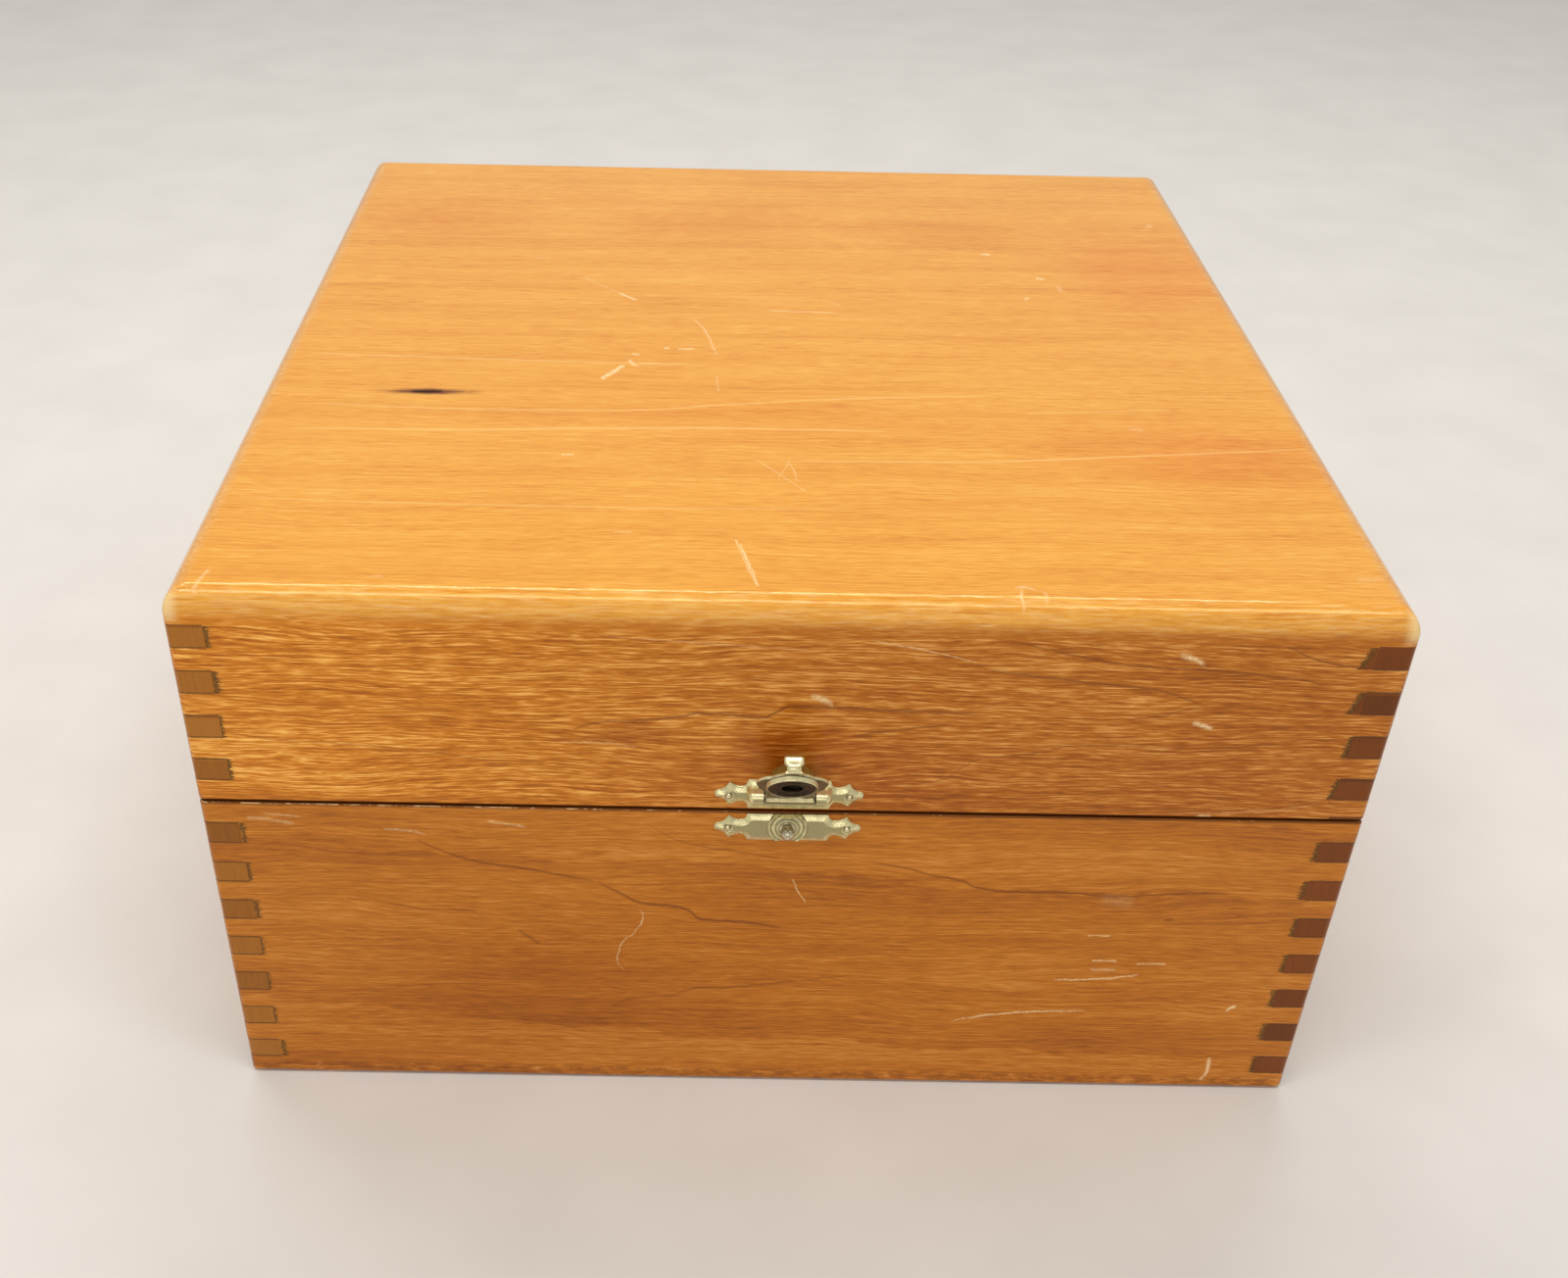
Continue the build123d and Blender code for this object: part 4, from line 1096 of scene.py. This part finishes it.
def barrel(shape):
    """Rolled barrel with its bore, a little flattened in front."""
    turns = 40

    def ring(x, radius, flat):
        points = []
        for i in range(turns):
            angle = 2 * pi * i / turns
            squared = radius * (1 + flat * sin(2 * angle) ** 4)
            points.append(on_front(x, HASP_Z + squared * sin(angle), HASP_OUT + squared * cos(angle)))
        return points

    ends = []
    for side in (-1, 1):
        x = side * BARREL_HALF
        outer = [ring(x - side * 0.12, BARREL_R, 0.05), ring(x, BARREL_R - 0.12, 0.05)]
        ends.append(outer if side > 0 else outer[::-1])
    rings = [*ends[0], *ends[1], ring(BARREL_HALF, BORE_R, 0.0), ring(-BARREL_HALF, BORE_R, 0.0)]
    shape.skin(rings, closed=True)


TAB_TURN = 18.85
TAB_BEND = 1.2
TAB_TOP = 3.65


def finger_tab(shape):
    """Hollow neck that rises from the cup and turns up into the flange for a finger."""
    middle = (SHEET_IN + SHEET_OUT) / 2
    path = [(along, middle, 0.0) for along in (17.4, 17.7, 18.0, 18.3, 18.6, TAB_TURN)]
    for i in range(1, 9):
        angle = radians(90 * i / 8)
        path.append((TAB_TURN + TAB_BEND * sin(angle), middle + TAB_BEND * (1 - cos(angle)), angle))
    path += [(TAB_TURN + TAB_BEND, out, pi / 2)
             for out in (1.2, 1.5, 1.8, 2.2, 2.6, 3.0, 3.3, 3.5, TAB_TOP - 0.02)]
    sides = 12
    rings = []
    for along, out, turn in path:
        half = 1.75 + 0.6 * eased(along, 18.6, 17.4) + 0.62 * eased(out, 0.9, 1.6)
        thick = 0.31
        dish = 0.2 * eased(out, 2.4, 1.0)
        if out > 3.2:
            half -= 0.35 * eased(out, 3.2, TAB_TOP) ** 2
            thick -= 0.18 * eased(out, 3.35, TAB_TOP)
        ring = []
        for k in range(2 * sides):
            lower = k < sides
            t = (k % sides) / (sides - 1) * 2 - 1
            across = half * (t if lower else -t)
            edge_fade = (1 - abs(t) ** 6) ** 0.5
            depth = thick * (-edge_fade if lower else edge_fade) - dish * (1 - t * t)
            ring.append(on_leaf(across, along - depth * sin(turn), out + depth * cos(turn)))
        rings.append(ring)
    shape.skin(rings)


def snap_ring():
    """Dark dished ring pressed into the cup, stepped towards its hole."""
    shape = Shape()
    section = [(SOCKET_R - 0.02, 0.4), (SOCKET_R - 0.08, 0.14), (5.62, 0.06), (5.4, 0.1),
               (5.22, 0.32), (5.1, 0.5), (4.75, 0.56), (4.35, 0.52), (4.22, 0.36), (4.05, 0.3),
               (3.88, 0.36), (3.74, 0.54), (3.5, 0.62), (3.25, 0.56), (3.1, 0.34), (2.92, 0.22),
               (2.74, 0.26), (2.66, 0.42), (2.66, 1.2), (2.8, 1.34), (3.15, 1.34), (3.2, 0.9),
               (SOCKET_R - 0.02, 0.75)]
    shape.turned_ring(on_socket, [(radius, CUP_FACE + rise) for radius, rise in section])
    shape.piece("snap_ring_dished", BRONZE, "hasp", "socket_bronze", "snap_socket")


def latch():
    upper = Shape()
    stamped_plate(upper, UPPER_PLATE_Z, UPPER_HALF, upper_height)
    pod(upper, -1)
    pod(upper, 1)
    upper.piece("upper_latch_stamping", PLATE_METAL, "lid", "latch_brass", "latch_upper_plate")
    lower = Shape()
    stamped_plate(lower, LOWER_PLATE_Z, LOWER_HALF, lower_height)
    lower.piece("lower_latch_stamping", PLATE_METAL, "base", "latch_brass", "latch_lower_plate")
    nail_heads(UPPER_NAIL_Z, "upper_nail_heads", "lid", "upper_plate_nails")
    nail_heads(LOWER_PLATE_Z, "lower_nail_heads", "base", "lower_plate_nails")
    ball_stud()
    leaf = Shape()
    leaf_sheet(leaf)
    snap_cup(leaf)
    barrel(leaf)
    finger_tab(leaf)
    leaf.piece("hasp_leaf_stamping", LEAF_METAL, "hasp", "latch_brass", "hasp_leaf")
    snap_ring()


latch()


# Stage, light and camera

WARM_WHITE = (1.0, 0.97, 0.93)
SOFT_WHITE = (1.0, 0.98, 0.95)


def stage_floor(half=4.0):
    mesh = bpy.data.meshes.new("studio_floor")
    mesh.from_pydata([(-half, -half, 0), (half, -half, 0), (half, half, 0), (-half, half, 0)], [],
                     [(0, 1, 2, 3)])
    floor = bpy.data.objects.new("studio_floor", mesh)
    bpy.context.scene.collection.objects.link(floor)
    finish = Finish("studio_floor_paper")
    tooth = finish.noise(finish.place, scale=0.02, detail=3.0)
    paper = finish.ramp(tooth, (0.3, 0.7), (srgb(224, 221, 216), srgb(230, 227, 222)))
    mesh.materials.append(finish.use(Base_Color=paper, Roughness=0.9))


def soft_light(name, where, towards, size, power, colour):
    lamp = bpy.data.lights.new(name, "AREA")
    lamp.shape = "RECTANGLE"
    lamp.size, lamp.size_y = size
    lamp.energy = power
    lamp.color = colour
    holder = bpy.data.objects.new(name, lamp)
    holder.location = where
    holder.rotation_euler = (Vector(towards) - Vector(where)).to_track_quat("-Z", "Y").to_euler()
    bpy.context.scene.collection.objects.link(holder)


def surroundings(strength):
    world = bpy.data.worlds.new("studio")
    bpy.context.scene.world = world
    world.use_nodes = True
    background = world.node_tree.nodes["Background"]
    background.inputs["Color"].default_value = (*SOFT_WHITE, 1.0)
    background.inputs["Strength"].default_value = strength


def camera():
    """Camera at the photograph's place and angle, for an image of 1600 by 1304."""
    data = bpy.data.cameras.new("camera")
    data.sensor_fit = "HORIZONTAL"
    data.sensor_width = 36.0
    data.lens = 39.633
    data.shift_x = 0.0487
    data.shift_y = 0.0757
    holder = bpy.data.objects.new("camera", data)
    holder.location = (-0.02143, -0.50364, 0.37381)
    holder.rotation_euler = (radians(53.247), radians(-1.0057), radians(0.4016))
    bpy.context.scene.collection.objects.link(holder)
    bpy.context.scene.camera = holder


stage_floor()
soft_light("overhead_softbox", (-0.1, 0.5, 1.3), (0.0, 0.0, 0.1), (1.4, 0.12), 7.3, WARM_WHITE)
soft_light("overhead_strip", (0.0, -0.45, 1.35), (0.0, -0.05, 0.1), (1.3, 0.2), 7.1, WARM_WHITE)
soft_light("front_fill", (-0.3, -1.5, 0.7), (0.0, 0.0, 0.08), (1.5, 0.5), 3.4, SOFT_WHITE)
surroundings(0.5)
camera()
bpy.context.scene.view_settings.view_transform = "Standard"
